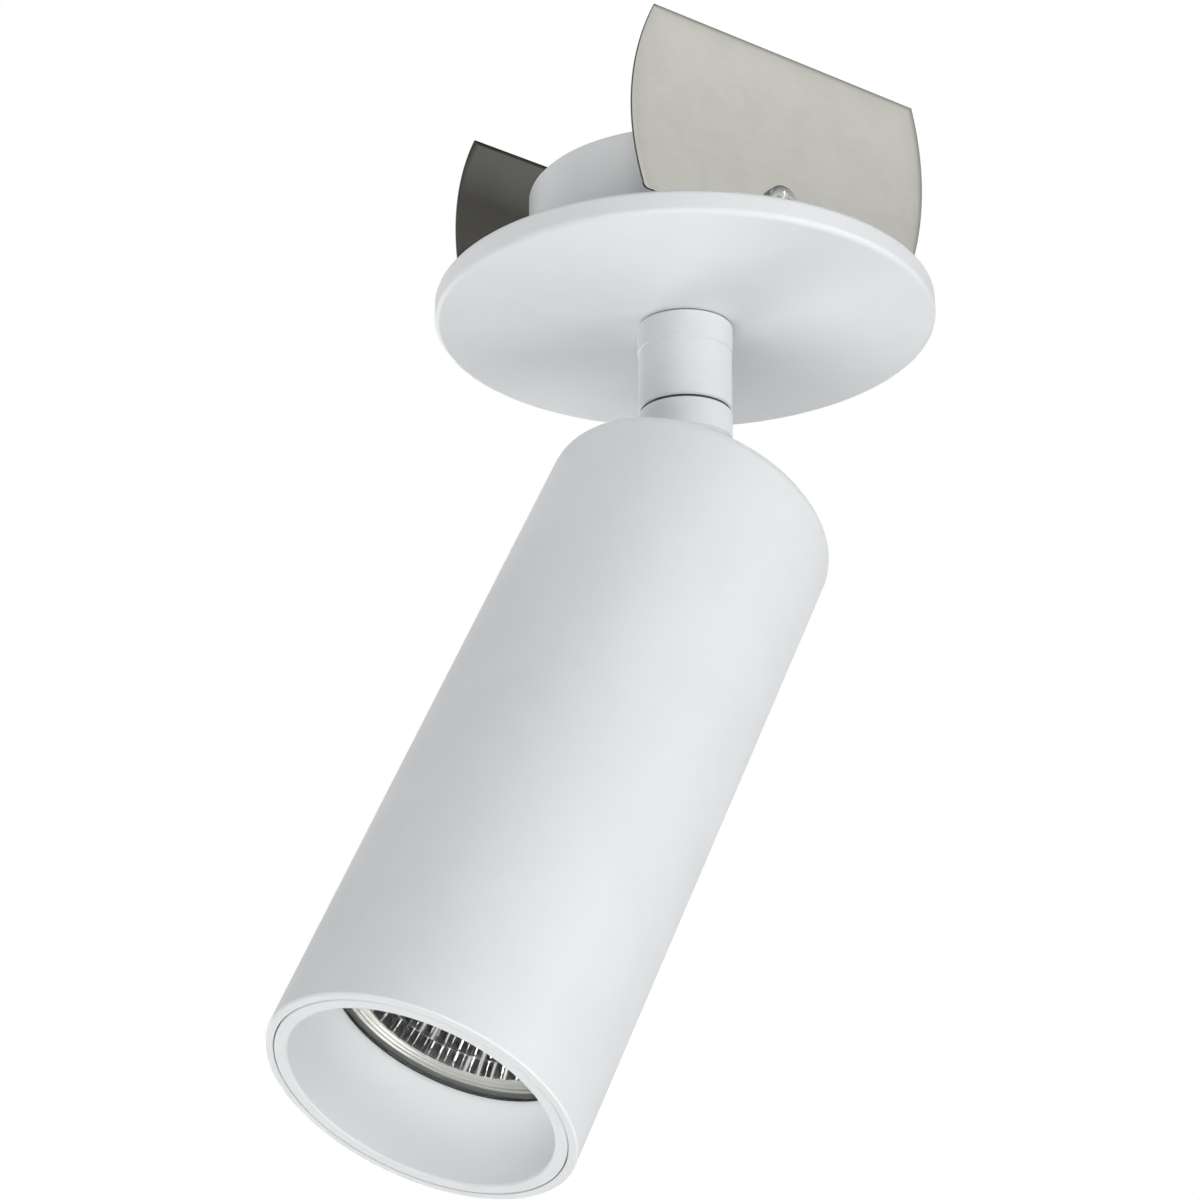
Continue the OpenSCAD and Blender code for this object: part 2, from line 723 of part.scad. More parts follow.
module led_emitter() {
    color([0.95, 0.8, 0.25]) on_head() translate([0, 0, board_z - board_t - emitter_t])
        cylinder(d = emitter_d, h = emitter_t);
}

// Plastic ring that presses the board onto the heat sink and seats the reflector
module led_holder() {
    window_r = reflector_neck_d/2 - 0.6;
    color([0.88, 0.88, 0.86]) on_head() difference() {
        translate([0, 0, neck_z]) cylinder(r = holder_r, h = holder_h);
        translate([0, 0, neck_z - past]) cylinder(r = window_r, h = holder_h + 2*past);
        translate([-board_w/2 - loose, -board_w/2 - loose, board_z - board_t])
            cube([board_w + 2*loose, board_w + 2*loose, board_t + past]);
        translate([0, -wire_hole_d/2, board_z - 2]) cube([post_at + wire_hole_d/2, wire_hole_d, 2 + past]);
        at_holder_screws() {
            translate([0, 0, neck_z - past]) cylinder(d = holder_screw_d + 2*running, h = holder_h + 2*past);
            translate([0, 0, neck_z - past]) cylinder(d = 2*holder_screw_d + 2*running, h = past + 1.6);
        }
    }
}

module holder_screws() {
    shank_l = holder_h - 1.6 + 5;
    color(steel) on_head() at_holder_screws() translate([0, 0, neck_z + 1.6]) difference() {
        union() {
            translate([0, 0, -1.4]) cylinder(d = 2*holder_screw_d, h = 1.4);
            cylinder(d = holder_screw_d, h = shank_l);
        }
        translate([0, 0, -1.4]) mirror([0, 0, 1]) cross_recess(holder_screw_d, 0.8);
    }
}

// Radius of the bowl at a share t of its height, from the neck: a parabola
function bowl_r(t) =
    sqrt(pow(reflector_neck_d/2, 2) + t*(pow(bowl_mouth_r, 2) - pow(reflector_neck_d/2, 2)));

// Faceted mirror bowl. A closed outline of points is carried round in flat steps, so
// that each step of each row is one flat mirror.
module reflector() {
    outer_rows = 5;
    wall_top = flange_z + reflector_flange_t;
    bowl_h = neck_z - flange_z;
    inner = [for (i = [0:facet_rows]) [bowl_r(i/facet_rows), neck_z - bowl_h*i/facet_rows]];
    outer = [for (i = [0:outer_rows])
        let (t = 1 - i/outer_rows, z = neck_z - (neck_z - wall_top)*t)
        [bowl_r((neck_z - z)/bowl_h) + reflector_wall, z]];
    outline = concat(inner, [[lens_r, flange_z], [lens_r, wall_top]], outer);
    k = len(outline);
    points = [for (j = [0:facet_count - 1]) for (p = outline)
        [p[0]*cos(360*j/facet_count), p[0]*sin(360*j/facet_count), p[1]]];
    faces = [for (j = [0:facet_count - 1]) for (i = [0:k - 1])
        let (j2 = (j + 1) % facet_count, i2 = (i + 1) % k)
        [j*k + i, j*k + i2, j2*k + i2, j2*k + i]];
    color([0.8, 0.81, 0.83]) on_head() polyhedron(points, faces);
}

module lens() {
    color([0.85, 0.9, 0.92, 0.4]) on_head() translate([0, 0, lens_z]) cylinder(r = lens_r, h = lens_t);
}

module lens_gasket() {
    color(dark) on_head() tube(2*lens_r + 0.4, 2*inner_r + 0.7, seat_z, lens_z);
}

// Deep cone with a flush lip at the mouth and a flange that carries the lens
module baffle() {
    outer = bore_r - lip_gap;
    edge = 0.3;
    color(white) on_head() rotate_extrude() polygon([
        [mouth_r + edge, mouth_z], [outer - edge/2, mouth_z], [outer, mouth_z + edge/2],
        [outer, mouth_z + lip_t], [mouth_r + baffle_wall, mouth_z + lip_t],
        [inner_r + baffle_wall, seat_z - seat_t], [outer, seat_z - seat_t],
        [outer, seat_z], [inner_r, seat_z], [mouth_r, mouth_z + edge]
    ]);
}

trim_plate();
mounting_collar();
collar_screws();
blade_screws();
blade_right();
blade_left();
seat_seal();
hollow_nipple();
lock_washer();
lock_nut();
cable_bush();
stem_cap_ring();
upper_stem();
swivel_bush();
disc_spring();
swivel_bolt();
split_washer();
stop_pin();
lower_stem();
pivot_screws();
friction_washers();
head_shell();
head_cap();
spacer_posts();
heat_sink();
led_board();
led_emitter();
led_holder();
holder_screws();
reflector();
lens();
lens_gasket();
baffle();
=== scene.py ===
"""Looks of a recessed ceiling spotlight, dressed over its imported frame.

Metres, in the part's own frame: the back face of the trim plate lies on the ceiling at z = 0, +Z goes up
into the ceiling and -Y is the front. The sections follow the order in which the lamp is put together.
"""
import json
import math

import bmesh
import bpy
import numpy as np
from mathutils import Matrix, Vector


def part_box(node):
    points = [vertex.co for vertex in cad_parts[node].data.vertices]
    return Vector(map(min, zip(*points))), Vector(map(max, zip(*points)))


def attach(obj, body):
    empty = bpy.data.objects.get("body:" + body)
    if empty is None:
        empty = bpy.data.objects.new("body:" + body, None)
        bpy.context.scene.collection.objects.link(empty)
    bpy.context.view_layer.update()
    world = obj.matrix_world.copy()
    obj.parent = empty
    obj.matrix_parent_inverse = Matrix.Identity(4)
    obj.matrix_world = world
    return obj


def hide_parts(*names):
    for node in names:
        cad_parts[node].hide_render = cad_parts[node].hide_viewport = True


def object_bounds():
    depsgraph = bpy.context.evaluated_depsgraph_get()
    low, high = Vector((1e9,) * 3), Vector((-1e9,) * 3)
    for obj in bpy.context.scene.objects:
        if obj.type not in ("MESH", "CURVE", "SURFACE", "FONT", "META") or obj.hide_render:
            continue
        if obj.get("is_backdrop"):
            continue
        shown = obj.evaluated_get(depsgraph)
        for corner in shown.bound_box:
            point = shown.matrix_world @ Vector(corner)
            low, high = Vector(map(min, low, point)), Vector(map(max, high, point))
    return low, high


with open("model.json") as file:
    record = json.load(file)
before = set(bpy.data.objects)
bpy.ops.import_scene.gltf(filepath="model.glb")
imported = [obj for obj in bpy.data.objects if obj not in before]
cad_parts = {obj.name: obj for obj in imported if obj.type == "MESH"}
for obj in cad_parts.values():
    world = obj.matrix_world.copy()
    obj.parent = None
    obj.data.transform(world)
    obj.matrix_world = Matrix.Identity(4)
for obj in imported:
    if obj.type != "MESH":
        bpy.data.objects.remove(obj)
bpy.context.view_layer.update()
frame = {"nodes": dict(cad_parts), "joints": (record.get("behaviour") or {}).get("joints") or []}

nodes = frame["nodes"]


# Trim plate: a turned aluminium disc with both edges rounded, which closes the cut-out from below.
# It is coated with matt white powder, baked to a fine, slightly rippled skin, as are the collar,
# the stem and the head.
def new_finish(name):
    """A new material of that name, its node tree and its Principled shader."""
    finish = bpy.data.materials.new(name)
    finish.use_nodes = True
    return finish, finish.node_tree, finish.node_tree.nodes["Principled BSDF"]


def add(tree, kind, inputs=None, **settings):
    """Adds a shader node with its settings and the fixed values of its inputs."""
    made = tree.nodes.new("ShaderNode" + kind)
    for name, value in settings.items():
        setattr(made, name, value)
    for name, value in (inputs or {}).items():
        made.inputs[name].default_value = value
    return made


def new_effect(name, takes, gives):
    """A shader node group with number inputs and outputs of the kinds given, and its two end nodes."""
    effect = bpy.data.node_groups.new(name, "ShaderNodeTree")
    add_socket = effect.interface.new_socket
    for label, value in takes.items():
        add_socket(label, in_out="INPUT", socket_type="NodeSocketFloat").default_value = value
    for label, kind in gives.items():
        add_socket(label, in_out="OUTPUT", socket_type="NodeSocket" + kind)
    return effect, effect.nodes.new("NodeGroupInput"), effect.nodes.new("NodeGroupOutput")


def place(tree, effect, **values):
    """Places a node group in a material with its own values."""
    made = tree.nodes.new("ShaderNodeGroup")
    made.node_tree = effect
    for name, value in values.items():
        made.inputs[name].default_value = value
    return made


def set_shader(shader, **values):
    """Sets the shader's own sockets, named with underscores for spaces."""
    for name, value in values.items():
        shader.inputs[name.replace("_", " ")].default_value = value


def blend_colour(tree, low, high, share):
    """A colour between low and high by the share that the socket carries."""
    mix = add(tree, "Mix", data_type="RGBA")
    mix.inputs[6].default_value = (*low, 1)
    mix.inputs[7].default_value = (*high, 1)
    tree.links.new(share, mix.inputs[0])
    return mix.outputs[2]


def spread(tree, source, low, high):
    """A number from low to high as the source goes from 0 to 1."""
    scale = add(tree, "MapRange", {"To Min": low, "To Max": high})
    tree.links.new(source, scale.inputs["Value"])
    return scale.outputs["Result"]


def add_bump(tree, shader, height, depth, under=None):
    """Presses a height of 0 to 1 into the surface by depth in metres."""
    bump = add(tree, "Bump", {"Distance": depth})
    tree.links.new(height, bump.inputs["Height"])
    if under:
        tree.links.new(under, bump.inputs["Normal"])
    tree.links.new(bump.outputs["Normal"], shader.inputs["Normal"])


def make_grain():
    """Fine skin of a moulded, cast or coated surface: ripples with smaller specks on them."""
    effect, start, end = new_effect("fine_grain", {"Scale": 1400.0, "Specks": 0.3}, {"Height": "Float"})
    place_at = add(effect, "TexCoord")
    ripple = add(effect, "TexNoise", {"Detail": 2.0, "Roughness": 0.45})
    speck = add(effect, "TexNoise", {"Detail": 1.0})
    finer = add(effect, "Math", {1: 4.3}, operation="MULTIPLY")
    mix = add(effect, "Mix")
    wire = effect.links.new
    wire(place_at.outputs["Object"], ripple.inputs["Vector"])
    wire(place_at.outputs["Object"], speck.inputs["Vector"])
    wire(start.outputs["Scale"], ripple.inputs["Scale"])
    wire(start.outputs["Scale"], finer.inputs[0])
    wire(finer.outputs[0], speck.inputs["Scale"])
    wire(start.outputs["Specks"], mix.inputs[0])
    wire(ripple.outputs["Fac"], mix.inputs[2])
    wire(speck.outputs["Fac"], mix.inputs[3])
    wire(mix.outputs[0], end.inputs["Height"])
    return effect


def make_handling():
    """Soft uneven patches that handling and dust leave, as a mask from 0 to 1."""
    effect, start, end = new_effect("handling", {"Scale": 55.0}, {"Mask": "Float"})
    place_at = add(effect, "TexCoord")
    cloud = add(effect, "TexNoise", {"Detail": 5.0, "Roughness": 0.6, "Distortion": 0.4})
    steps = add(effect, "MapRange", {"From Min": 0.35, "From Max": 0.7}, interpolation_type="SMOOTHSTEP")
    wire = effect.links.new
    wire(place_at.outputs["Object"], cloud.inputs["Vector"])
    wire(start.outputs["Scale"], cloud.inputs["Scale"])
    wire(cloud.outputs["Fac"], steps.inputs["Value"])
    wire(steps.outputs["Result"], end.inputs["Mask"])
    return effect


def make_edges():
    """Softened edges: the normal rounded over a radius in metres, and a mask that is 1 on an edge."""
    gives = {"Normal": "Vector", "Edge": "Float"}
    effect, start, end = new_effect("soft_edges", {"Radius": 0.0003}, gives)
    rounding = add(effect, "Bevel", samples=6)
    face = add(effect, "NewGeometry")
    alike = add(effect, "VectorMath", operation="DOT_PRODUCT")
    mask = add(effect, "MapRange", {"From Min": 1.0, "From Max": 0.8})
    wire = effect.links.new
    wire(start.outputs["Radius"], rounding.inputs["Radius"])
    wire(rounding.outputs["Normal"], alike.inputs[0])
    wire(face.outputs["Normal"], alike.inputs[1])
    wire(alike.outputs["Value"], mask.inputs["Value"])
    wire(rounding.outputs["Normal"], end.inputs["Normal"])
    wire(mask.outputs["Result"], end.inputs["Edge"])
    return effect


fine_grain = make_grain()
handling = make_handling()
soft_edges = make_edges()


def make_white_paint():
    """Matt white powder coat: rippled skin, a little thinner and greyer on the edges."""
    finish, tree, shader = new_finish("white_paint")
    grain = place(tree, fine_grain, Scale=1500.0, Specks=0.35)
    marks = place(tree, handling, Scale=48.0)
    edges = place(tree, soft_edges, Radius=0.00025)
    coat = blend_colour(tree, (0.846, 0.864, 0.87), (0.822, 0.839, 0.847), marks.outputs["Mask"])
    worn = add(tree, "Mix", data_type="RGBA")
    worn.inputs[7].default_value = (0.79, 0.80, 0.80, 1)
    tree.links.new(spread(tree, edges.outputs["Edge"], 0.0, 0.3), worn.inputs[0])
    tree.links.new(coat, worn.inputs[6])
    tree.links.new(worn.outputs[2], shader.inputs["Base Color"])
    tree.links.new(spread(tree, marks.outputs["Mask"], 0.5, 0.58), shader.inputs["Roughness"])
    add_bump(tree, shader, grain.outputs["Height"], 0.000014, edges.outputs["Normal"])
    set_shader(shader, Specular_IOR_Level=0.35)
    return finish


def dress(finish, *names):
    """Gives CAD nodes their finish."""
    for name in names:
        for slot in nodes[name].material_slots:
            slot.material = finish


white_paint = make_white_paint()
dress(white_paint, "trim_plate")


# Mounting collar: a cast cup that goes up into the cut-out, with two inside pads for the blade
# screws. It is coated with the plate and sits on the plate's back.
dress(white_paint, "mounting_collar")


# Collar screws: three countersunk M3 machine screws, bright zinc plate on steel, driven from inside
# the cup into the plate.
def make_plated_steel():
    """Bright zinc plate: fine cloudy passivation, duller where a tool has touched it."""
    finish, tree, shader = new_finish("plated_steel")
    grain = place(tree, fine_grain, Scale=3800.0, Specks=0.5)
    marks = place(tree, handling, Scale=420.0)
    edges = place(tree, soft_edges, Radius=0.00008)
    colour = blend_colour(tree, (0.82, 0.82, 0.80), (0.7, 0.7, 0.68), marks.outputs["Mask"])
    tree.links.new(colour, shader.inputs["Base Color"])
    tree.links.new(spread(tree, marks.outputs["Mask"], 0.4, 0.52), shader.inputs["Roughness"])
    add_bump(tree, shader, grain.outputs["Height"], 0.000003, edges.outputs["Normal"])
    set_shader(shader, Metallic=1.0)
    return finish


plated_steel = make_plated_steel()
dress(plated_steel, "collar_screws")


# Spring blades: two sheets of rolled spring steel, 0.5 mm thick, with a straight top, curved sides and
# two small round lower corners, bent a little outwards above the screw. One screw holds each blade to
# the collar, and the pair grips the cut-out.
blade_width = 0.0706
blade_side_radius = 0.0532
blade_corner_radius = 0.0012
blade_bend_radius = 0.41
blade_thickness = 0.0005
blade_edge_radius = 0.0001
blade_hole_radius = 0.0018
blade_columns = 640
blade_face_rows = 26
# How dark the inner face is painted as shade, up to the height where that painted shade starts to
# lighten, and at the top
blade_inner_painted_shade = (0.96, 0.66)
# How dark painted shade makes a face at its very rim, and how fast that fades inwards, as a power
blade_rim_painted_shade = 0.17
blade_rim_shade_fade = 18
# Above the "worn" height, the painted shade on the inner face grows lighter towards the top
blade_heights = {
    "bottom": 0.0017, "screw": 0.0089, "bend": 0.0124, "widest": 0.0221, "worn": 0.027, "top": 0.0415,
}


def arc_points(centre, radius, start, end, count):
    """Points along a circle about the centre, from one angle to the other, both in degrees."""
    angles = np.radians(np.linspace(start, end, count))
    return np.stack([centre[0] + radius*np.cos(angles), centre[1] + radius*np.sin(angles)], -1)


def blade_outline(count):
    """Outline of a blade about its screw, width by height, evenly spaced and going round leftwards.

    The sides are arcs of one radius, widest at one height. They end at the straight top in sharp
    corners, and below in arcs of the corner radius that run into the straight bottom edge.
    """
    top, bottom, widest = (blade_heights[k] - blade_heights["screw"] for k in ("top", "bottom", "widest"))
    centre_x = blade_width/2 - blade_side_radius
    waist = bottom + blade_corner_radius
    upper = math.degrees(math.asin((top - widest)/blade_side_radius))
    lower = math.degrees(math.asin((waist - widest)/blade_side_radius))
    half = centre_x + blade_side_radius*math.cos(math.radians(lower))
    corner = (half - blade_corner_radius, waist)
    right = np.vstack([
        arc_points(corner, blade_corner_radius, -90, 0, 12),
        arc_points((centre_x, widest), blade_side_radius, lower, upper, 60),
    ])
    ring = np.vstack([right, right[::-1]*[-1, 1], right[:1]])
    length = np.append(0, np.cumsum(np.linalg.norm(np.diff(ring, axis=0), axis=1)))
    at = np.linspace(0, length[-1], count, endpoint=False)
    corners = np.searchsorted(at, length[[len(right) - 1, len(right)]])
    at[corners] = length[[len(right) - 1, len(right)]]
    return np.stack([np.interp(at, length, ring[:, k]) for k in (0, 1)], -1)


def shape_from_grid(name, grid, crease, wrap_rows=False):
    """A closed piece from a grid of points, rows by columns, whose columns wrap round.

    Rows wrap too if asked, and otherwise the first and last row close at a pole. Edges that turn
    more than the crease, in degrees, stay sharp.
    """
    rows, columns = grid.shape[:2]
    first = np.arange(rows if wrap_rows else rows - 1)[:, None]
    column = np.arange(columns)[None, :]
    second, beside = (first + 1) % rows, (column + 1) % columns
    corners = [(first, column), (first, beside), (second, beside), (second, column)]
    faces = np.stack(np.broadcast_arrays(*(r*columns + c for r, c in corners)), -1).reshape(-1, 4)
    mesh = bpy.data.meshes.new(name)
    mesh.from_pydata(grid.reshape(-1, 3).tolist(), [], faces.tolist())
    shell = bmesh.new()
    shell.from_mesh(mesh)
    bmesh.ops.remove_doubles(shell, verts=shell.verts, dist=1e-7)
    bmesh.ops.recalc_face_normals(shell, faces=shell.faces)
    shell.to_mesh(mesh)
    shell.free()
    mesh.shade_smooth()
    mesh.set_sharp_from_angle(angle=math.radians(crease))
    piece = bpy.data.objects.new(name, mesh)
    bpy.context.scene.collection.objects.link(piece)
    return piece


def give(piece, name, domain, values):
    """Stores a number for each point or face of a piece, for its finish to read."""
    stored = piece.data.attributes.new(name, "FLOAT", domain)
    stored.data.foreach_set("value", values.ravel().astype(np.float32))


def blade_grid():
    """A blade about its screw, with X outwards from the collar, and how dark each point is painted:
    nearly black on the rounded edge, with painted shade near each face's rim and over the inner face.

    Rows go from the screw hole over the outer face to the rim, round the rounded edge and back over
    the inner face to the hole. On a face a point lies a share of the way from hole to outline. Above
    the bend's start, the sheet leaves its plane on a circle of the bend radius.
    """
    outline = blade_outline(blade_columns)
    ahead = np.roll(outline, -1, 0) - np.roll(outline, 1, 0)
    outward = np.stack([ahead[:, 1], -ahead[:, 0]], -1)/np.linalg.norm(ahead, axis=1)[:, None]
    inset = outline - outward*blade_edge_radius
    angle = np.arctan2(outline[:, 1], outline[:, 0])
    hole = blade_hole_radius*np.stack([np.cos(angle), np.sin(angle)], -1)
    share = np.linspace(0, 1, blade_face_rows)**0.8
    face = hole + (inset - hole)*share[:, None, None]
    turn = np.radians([60, 30, 0, 0, -30, -60])[:, None, None]
    side = np.array([1, 1, 1, -1, -1, -1])
    edge = inset + outward*blade_edge_radius*np.cos(turn)
    edge_x = np.sin(turn).ravel()*blade_edge_radius + side*(blade_thickness/2 - blade_edge_radius)
    flat = np.vstack([face, edge, face[::-1]])
    half = np.full(len(face), blade_thickness/2)
    level = blade_thickness/2 + np.concatenate([half, edge_x, -half])[:, None]
    climb = np.maximum(flat[..., 1] - (blade_heights["bend"] - blade_heights["screw"]), 0)
    out = level + blade_bend_radius - np.sqrt(blade_bend_radius**2 - climb**2)
    # Painted shade: each face darkens towards its rim, and the inner face is darkened all over, less
    # towards the top
    rim_painted_shade = np.repeat(blade_rim_painted_shade*share[:, None]**blade_rim_shade_fade, blade_columns, 1)
    ends = [blade_heights[k] - blade_heights["screw"] for k in ("worn", "top")]
    inner_painted_shade = np.maximum(rim_painted_shade, np.interp(face[..., 1], ends, blade_inner_painted_shade))
    return np.dstack([out, flat]), np.vstack([rim_painted_shade, np.ones(edge.shape[:2]), inner_painted_shade[::-1]])


def make_blade(name, joint_name):
    """One blade, turned about its screw as it hangs in the photograph, from its joint's travel."""
    joint = next(j for j in frame["joints"] if j["name"] == joint_name)
    turn = -math.radians(sum(joint["range_deg"])/2)
    side = math.copysign(1, joint["pos_m"][0])
    grid, tint = blade_grid()
    out, width, height = grid[..., 0], side*grid[..., 1], grid[..., 2]
    turned = np.dstack([
        joint["pos_m"][0] + side*out,
        width*math.cos(turn) - height*math.sin(turn),
        width*math.sin(turn) + height*math.cos(turn) + blade_heights["screw"],
    ])
    piece = shape_from_grid(name + "_sheet", turned, crease=40, wrap_rows=True)
    give(piece, "edge_dark_and_painted_shade", "POINT", tint)
    return piece


def make_spring_steel():
    """Rolled spring steel: satin, with faint streaks along the strip and cloudy oil marks. It is nearly
    black and a little brown on its rounded edge. Painted shade darkens each face towards its rim, and the
    inner face all over, less towards the top."""
    finish, tree, shader = new_finish("spring_steel")
    marks = place(tree, handling, Scale=120.0)
    grain = place(tree, fine_grain, Scale=2300.0, Specks=0.45)
    place_at = add(tree, "TexCoord")
    stretch = add(tree, "Mapping", {"Scale": (1.0, 0.05, 1.0)})
    streak = add(tree, "TexNoise", {"Scale": 2200.0, "Detail": 2.0})
    tree.links.new(place_at.outputs["Object"], stretch.inputs["Vector"])
    tree.links.new(stretch.outputs["Vector"], streak.inputs["Vector"])
    tone = add(tree, "Mix", {0: 0.5})
    tree.links.new(marks.outputs["Mask"], tone.inputs[2])
    tree.links.new(streak.outputs["Fac"], tone.inputs[3])
    # The stored value paints the rounded edge nearly black, and paints shade near the rims and over the
    # inner face
    cut = add(tree, "Attribute", attribute_name="edge_dark_and_painted_shade")
    colour = add(tree, "Mix", data_type="RGBA")
    colour.inputs[7].default_value = (0.062, 0.06, 0.054, 1)
    tree.links.new(cut.outputs["Fac"], colour.inputs[0])
    skin = blend_colour(tree, (0.655, 0.652, 0.605), (0.615, 0.61, 0.555), tone.outputs[0])
    tree.links.new(skin, colour.inputs[6])
    tree.links.new(colour.outputs[2], shader.inputs["Base Color"])
    tree.links.new(spread(tree, tone.outputs[0], 0.2, 0.26), shader.inputs["Roughness"])
    height = add(tree, "Mix", {0: 0.5})
    tree.links.new(grain.outputs["Height"], height.inputs[2])
    tree.links.new(streak.outputs["Fac"], height.inputs[3])
    add_bump(tree, shader, height.outputs[0], 0.0000025)
    set_shader(shader, Metallic=1.0)
    return finish


spring_steel = make_spring_steel()
for node_name, body, joint_name in [
    ("blade_right", "right_blade", "right_blade_turn"),
    ("blade_left", "left_blade", "left_blade_turn"),
]:
    blade = make_blade(node_name, joint_name)
    blade.data.materials.append(spring_steel)
    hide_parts(node_name)
    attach(blade, body)


# Blade screws: two M3.5 pan-head machine screws with a cross recess, bright zinc plate on steel,
# each driven through its blade into a pad of the collar.
pan_head_radius = 0.0033
pan_head_height = 0.0022
# The dome starts at this share of the head's height, reaches out to this share of its radius, and is
# flatter than a ball by its exponent
dome_start = 0.55
dome_reach = 0.985
dome_exponent = 2.6
recess_reach = 0.00195
recess_width = 0.00085
recess_depth = 0.0013
# Share of its depth that the recess loses at its reach, and the slope's width at its walls
recess_rise = 0.6
recess_wall = 0.00008
screw_shank_radius = 0.00175
screw_shank_length = 0.0058
screw_tip_chamfer = 0.0004
head_rim_chamfer = 0.00015


def pan_head_grid():
    """A pan-head screw along +Z, with its head's seat at z = 0.

    Over the head, the height is a dome of the distance from the axis, less a cross: two crossed
    bars with steep walls whose floor rises outwards. Then rows go down the rim, in under the head
    and down the shank to a blunt tip.
    """
    angle = np.linspace(0, 2*np.pi, 192, endpoint=False)[None, :]
    radius = pan_head_radius*np.minimum(np.linspace(0, 1, 64)[:, None]**0.85, dome_reach)
    rim = dome_start*pan_head_height
    dome = rim + (pan_head_height - rim)*np.sqrt(1 - (radius/pan_head_radius)**dome_exponent)
    x, y = radius*np.cos(angle), radius*np.sin(angle)

    def bar(across, along):
        side = np.clip((recess_width/2 - np.abs(across))/recess_wall + 0.5, 0, 1)
        tip = np.clip((recess_reach - np.abs(along))/recess_wall + 0.5, 0, 1)
        return side*tip

    cross = np.maximum(bar(x, y), bar(y, x))
    floor = pan_head_height - recess_depth*(1 - recess_rise*radius/recess_reach)
    top = dome*(1 - cross) + floor*cross
    head = np.stack([x, y, np.broadcast_to(top, x.shape)], -1)
    below = np.array([
        [pan_head_radius, rim*0.9], [pan_head_radius, head_rim_chamfer],
        [pan_head_radius - head_rim_chamfer, 0.0], [screw_shank_radius, 0.0],
        [screw_shank_radius, -screw_shank_length + screw_tip_chamfer],
        [screw_shank_radius - screw_tip_chamfer, -screw_shank_length], [0.0, -screw_shank_length],
    ])
    ring = below[:, 0, None]*np.ones_like(angle)
    side = np.stack([ring*np.cos(angle), ring*np.sin(angle), below[:, 1, None] + 0*ring], -1)
    return np.vstack([head, side])


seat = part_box("blade_screws")[1].x - pan_head_height
for label, side in [("right", 1), ("left", -1)]:
    x, y, z = np.moveaxis(pan_head_grid(), -1, 0)
    turned = np.stack([side*(seat + z), x, blade_heights["screw"] + side*y], -1)
    screw = shape_from_grid("blade_screw_" + label, turned, crease=35)
    screw.data.materials.append(plated_steel)
    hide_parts("blade_screws")
    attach(screw, "trim")


# Seat seal: a thin die-cut rubber ring between the plate and the stem's cap ring, squeezed until
# only its dark edge shows.
def make_black_rubber():
    """Matt black rubber, with talc dust in its grain."""
    finish, tree, shader = new_finish("black_rubber")
    grain = place(tree, fine_grain, Scale=2600.0, Specks=0.4)
    marks = place(tree, handling, Scale=160.0)
    colour = blend_colour(tree, (0.022, 0.022, 0.023), (0.05, 0.05, 0.05), marks.outputs["Mask"])
    tree.links.new(colour, shader.inputs["Base Color"])
    tree.links.new(spread(tree, grain.outputs["Height"], 0.6, 0.85), shader.inputs["Roughness"])
    add_bump(tree, shader, grain.outputs["Height"], 0.00002)
    return finish


black_rubber = make_black_rubber()
dress(black_rubber, "seat_seal")


# Hollow nipple: a brass tube with a fine thread of 1 mm pitch all the way, which clamps the stem's
# cap ring to the plate and lets the supply cable through.
def make_brass():
    """Turned brass: fine tool lines round the axis, a little tarnish in patches."""
    finish, tree, shader = new_finish("brass")
    marks = place(tree, handling, Scale=260.0)
    grain = place(tree, fine_grain, Scale=3200.0, Specks=0.5)
    colour = blend_colour(tree, (0.80, 0.62, 0.33), (0.60, 0.43, 0.20), marks.outputs["Mask"])
    tree.links.new(colour, shader.inputs["Base Color"])
    tree.links.new(spread(tree, marks.outputs["Mask"], 0.2, 0.4), shader.inputs["Roughness"])
    add_bump(tree, shader, grain.outputs["Height"], 0.000004)
    set_shader(shader, Metallic=1.0)
    return finish


thread_pitch = 0.001
thread_depth = 0.00042
rows_per_pitch = 12
# How steep the flank is, how much of it the flat crest takes, and how much of the thread is left
# where it runs out
flank_slope = 1.3
flank_crest = 0.15
least_thread = 0.25
nipple_wall = 0.00165
# How much narrower the nipple's top is, so that the nut starts easily, over which height, and the
# chamfer of its bore
nipple_lead = 0.0004
nipple_lead_height = 0.0006
nipple_chamfer = 0.0003


def nipple_grid(low_z, high_z, outer, bore):
    """A threaded tube: its radius is the crest's less a flank that rises and falls once a pitch.

    The phase of the flank grows with height and falls with the angle, which makes the thread one
    helix. Crest and root are flat, and the thread runs out over the last pitch at each end. Rows go
    up the outside and down the bore.
    """
    angle = np.linspace(0, 2*np.pi, 96, endpoint=False)[None, :]
    z = np.linspace(low_z, high_z, int((high_z - low_z)/thread_pitch*rows_per_pitch))[:, None]
    phase = (z/thread_pitch - angle/(2*np.pi)) % 1.0
    flank = np.clip(np.abs(2*phase - 1)*flank_slope - flank_crest, 0, 1)
    run_out = np.clip(np.minimum(z - low_z, high_z - z)/thread_pitch, least_thread, 1)
    lead = nipple_lead*np.clip(1 - (high_z - z)/nipple_lead_height, 0, 1)
    radius = outer - thread_depth*flank*run_out - lead
    rim = np.array([[high_z, bore + nipple_chamfer], [high_z - nipple_chamfer, bore], [low_z, bore]])
    radii = np.vstack([radius, rim[:, 1, None]*np.ones_like(angle)])
    heights = np.vstack([z*np.ones_like(angle), rim[:, 0, None]*np.ones_like(angle)])
    return np.stack([radii*np.cos(angle), radii*np.sin(angle), heights], -1)


brass = make_brass()
low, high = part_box("hollow_nipple")
grid = nipple_grid(low.z, high.z, high.x, high.x - nipple_wall)
nipple = shape_from_grid("hollow_nipple_thread", grid, crease=50, wrap_rows=True)
nipple.data.materials.append(brass)
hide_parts("hollow_nipple")
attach(nipple, "trim")


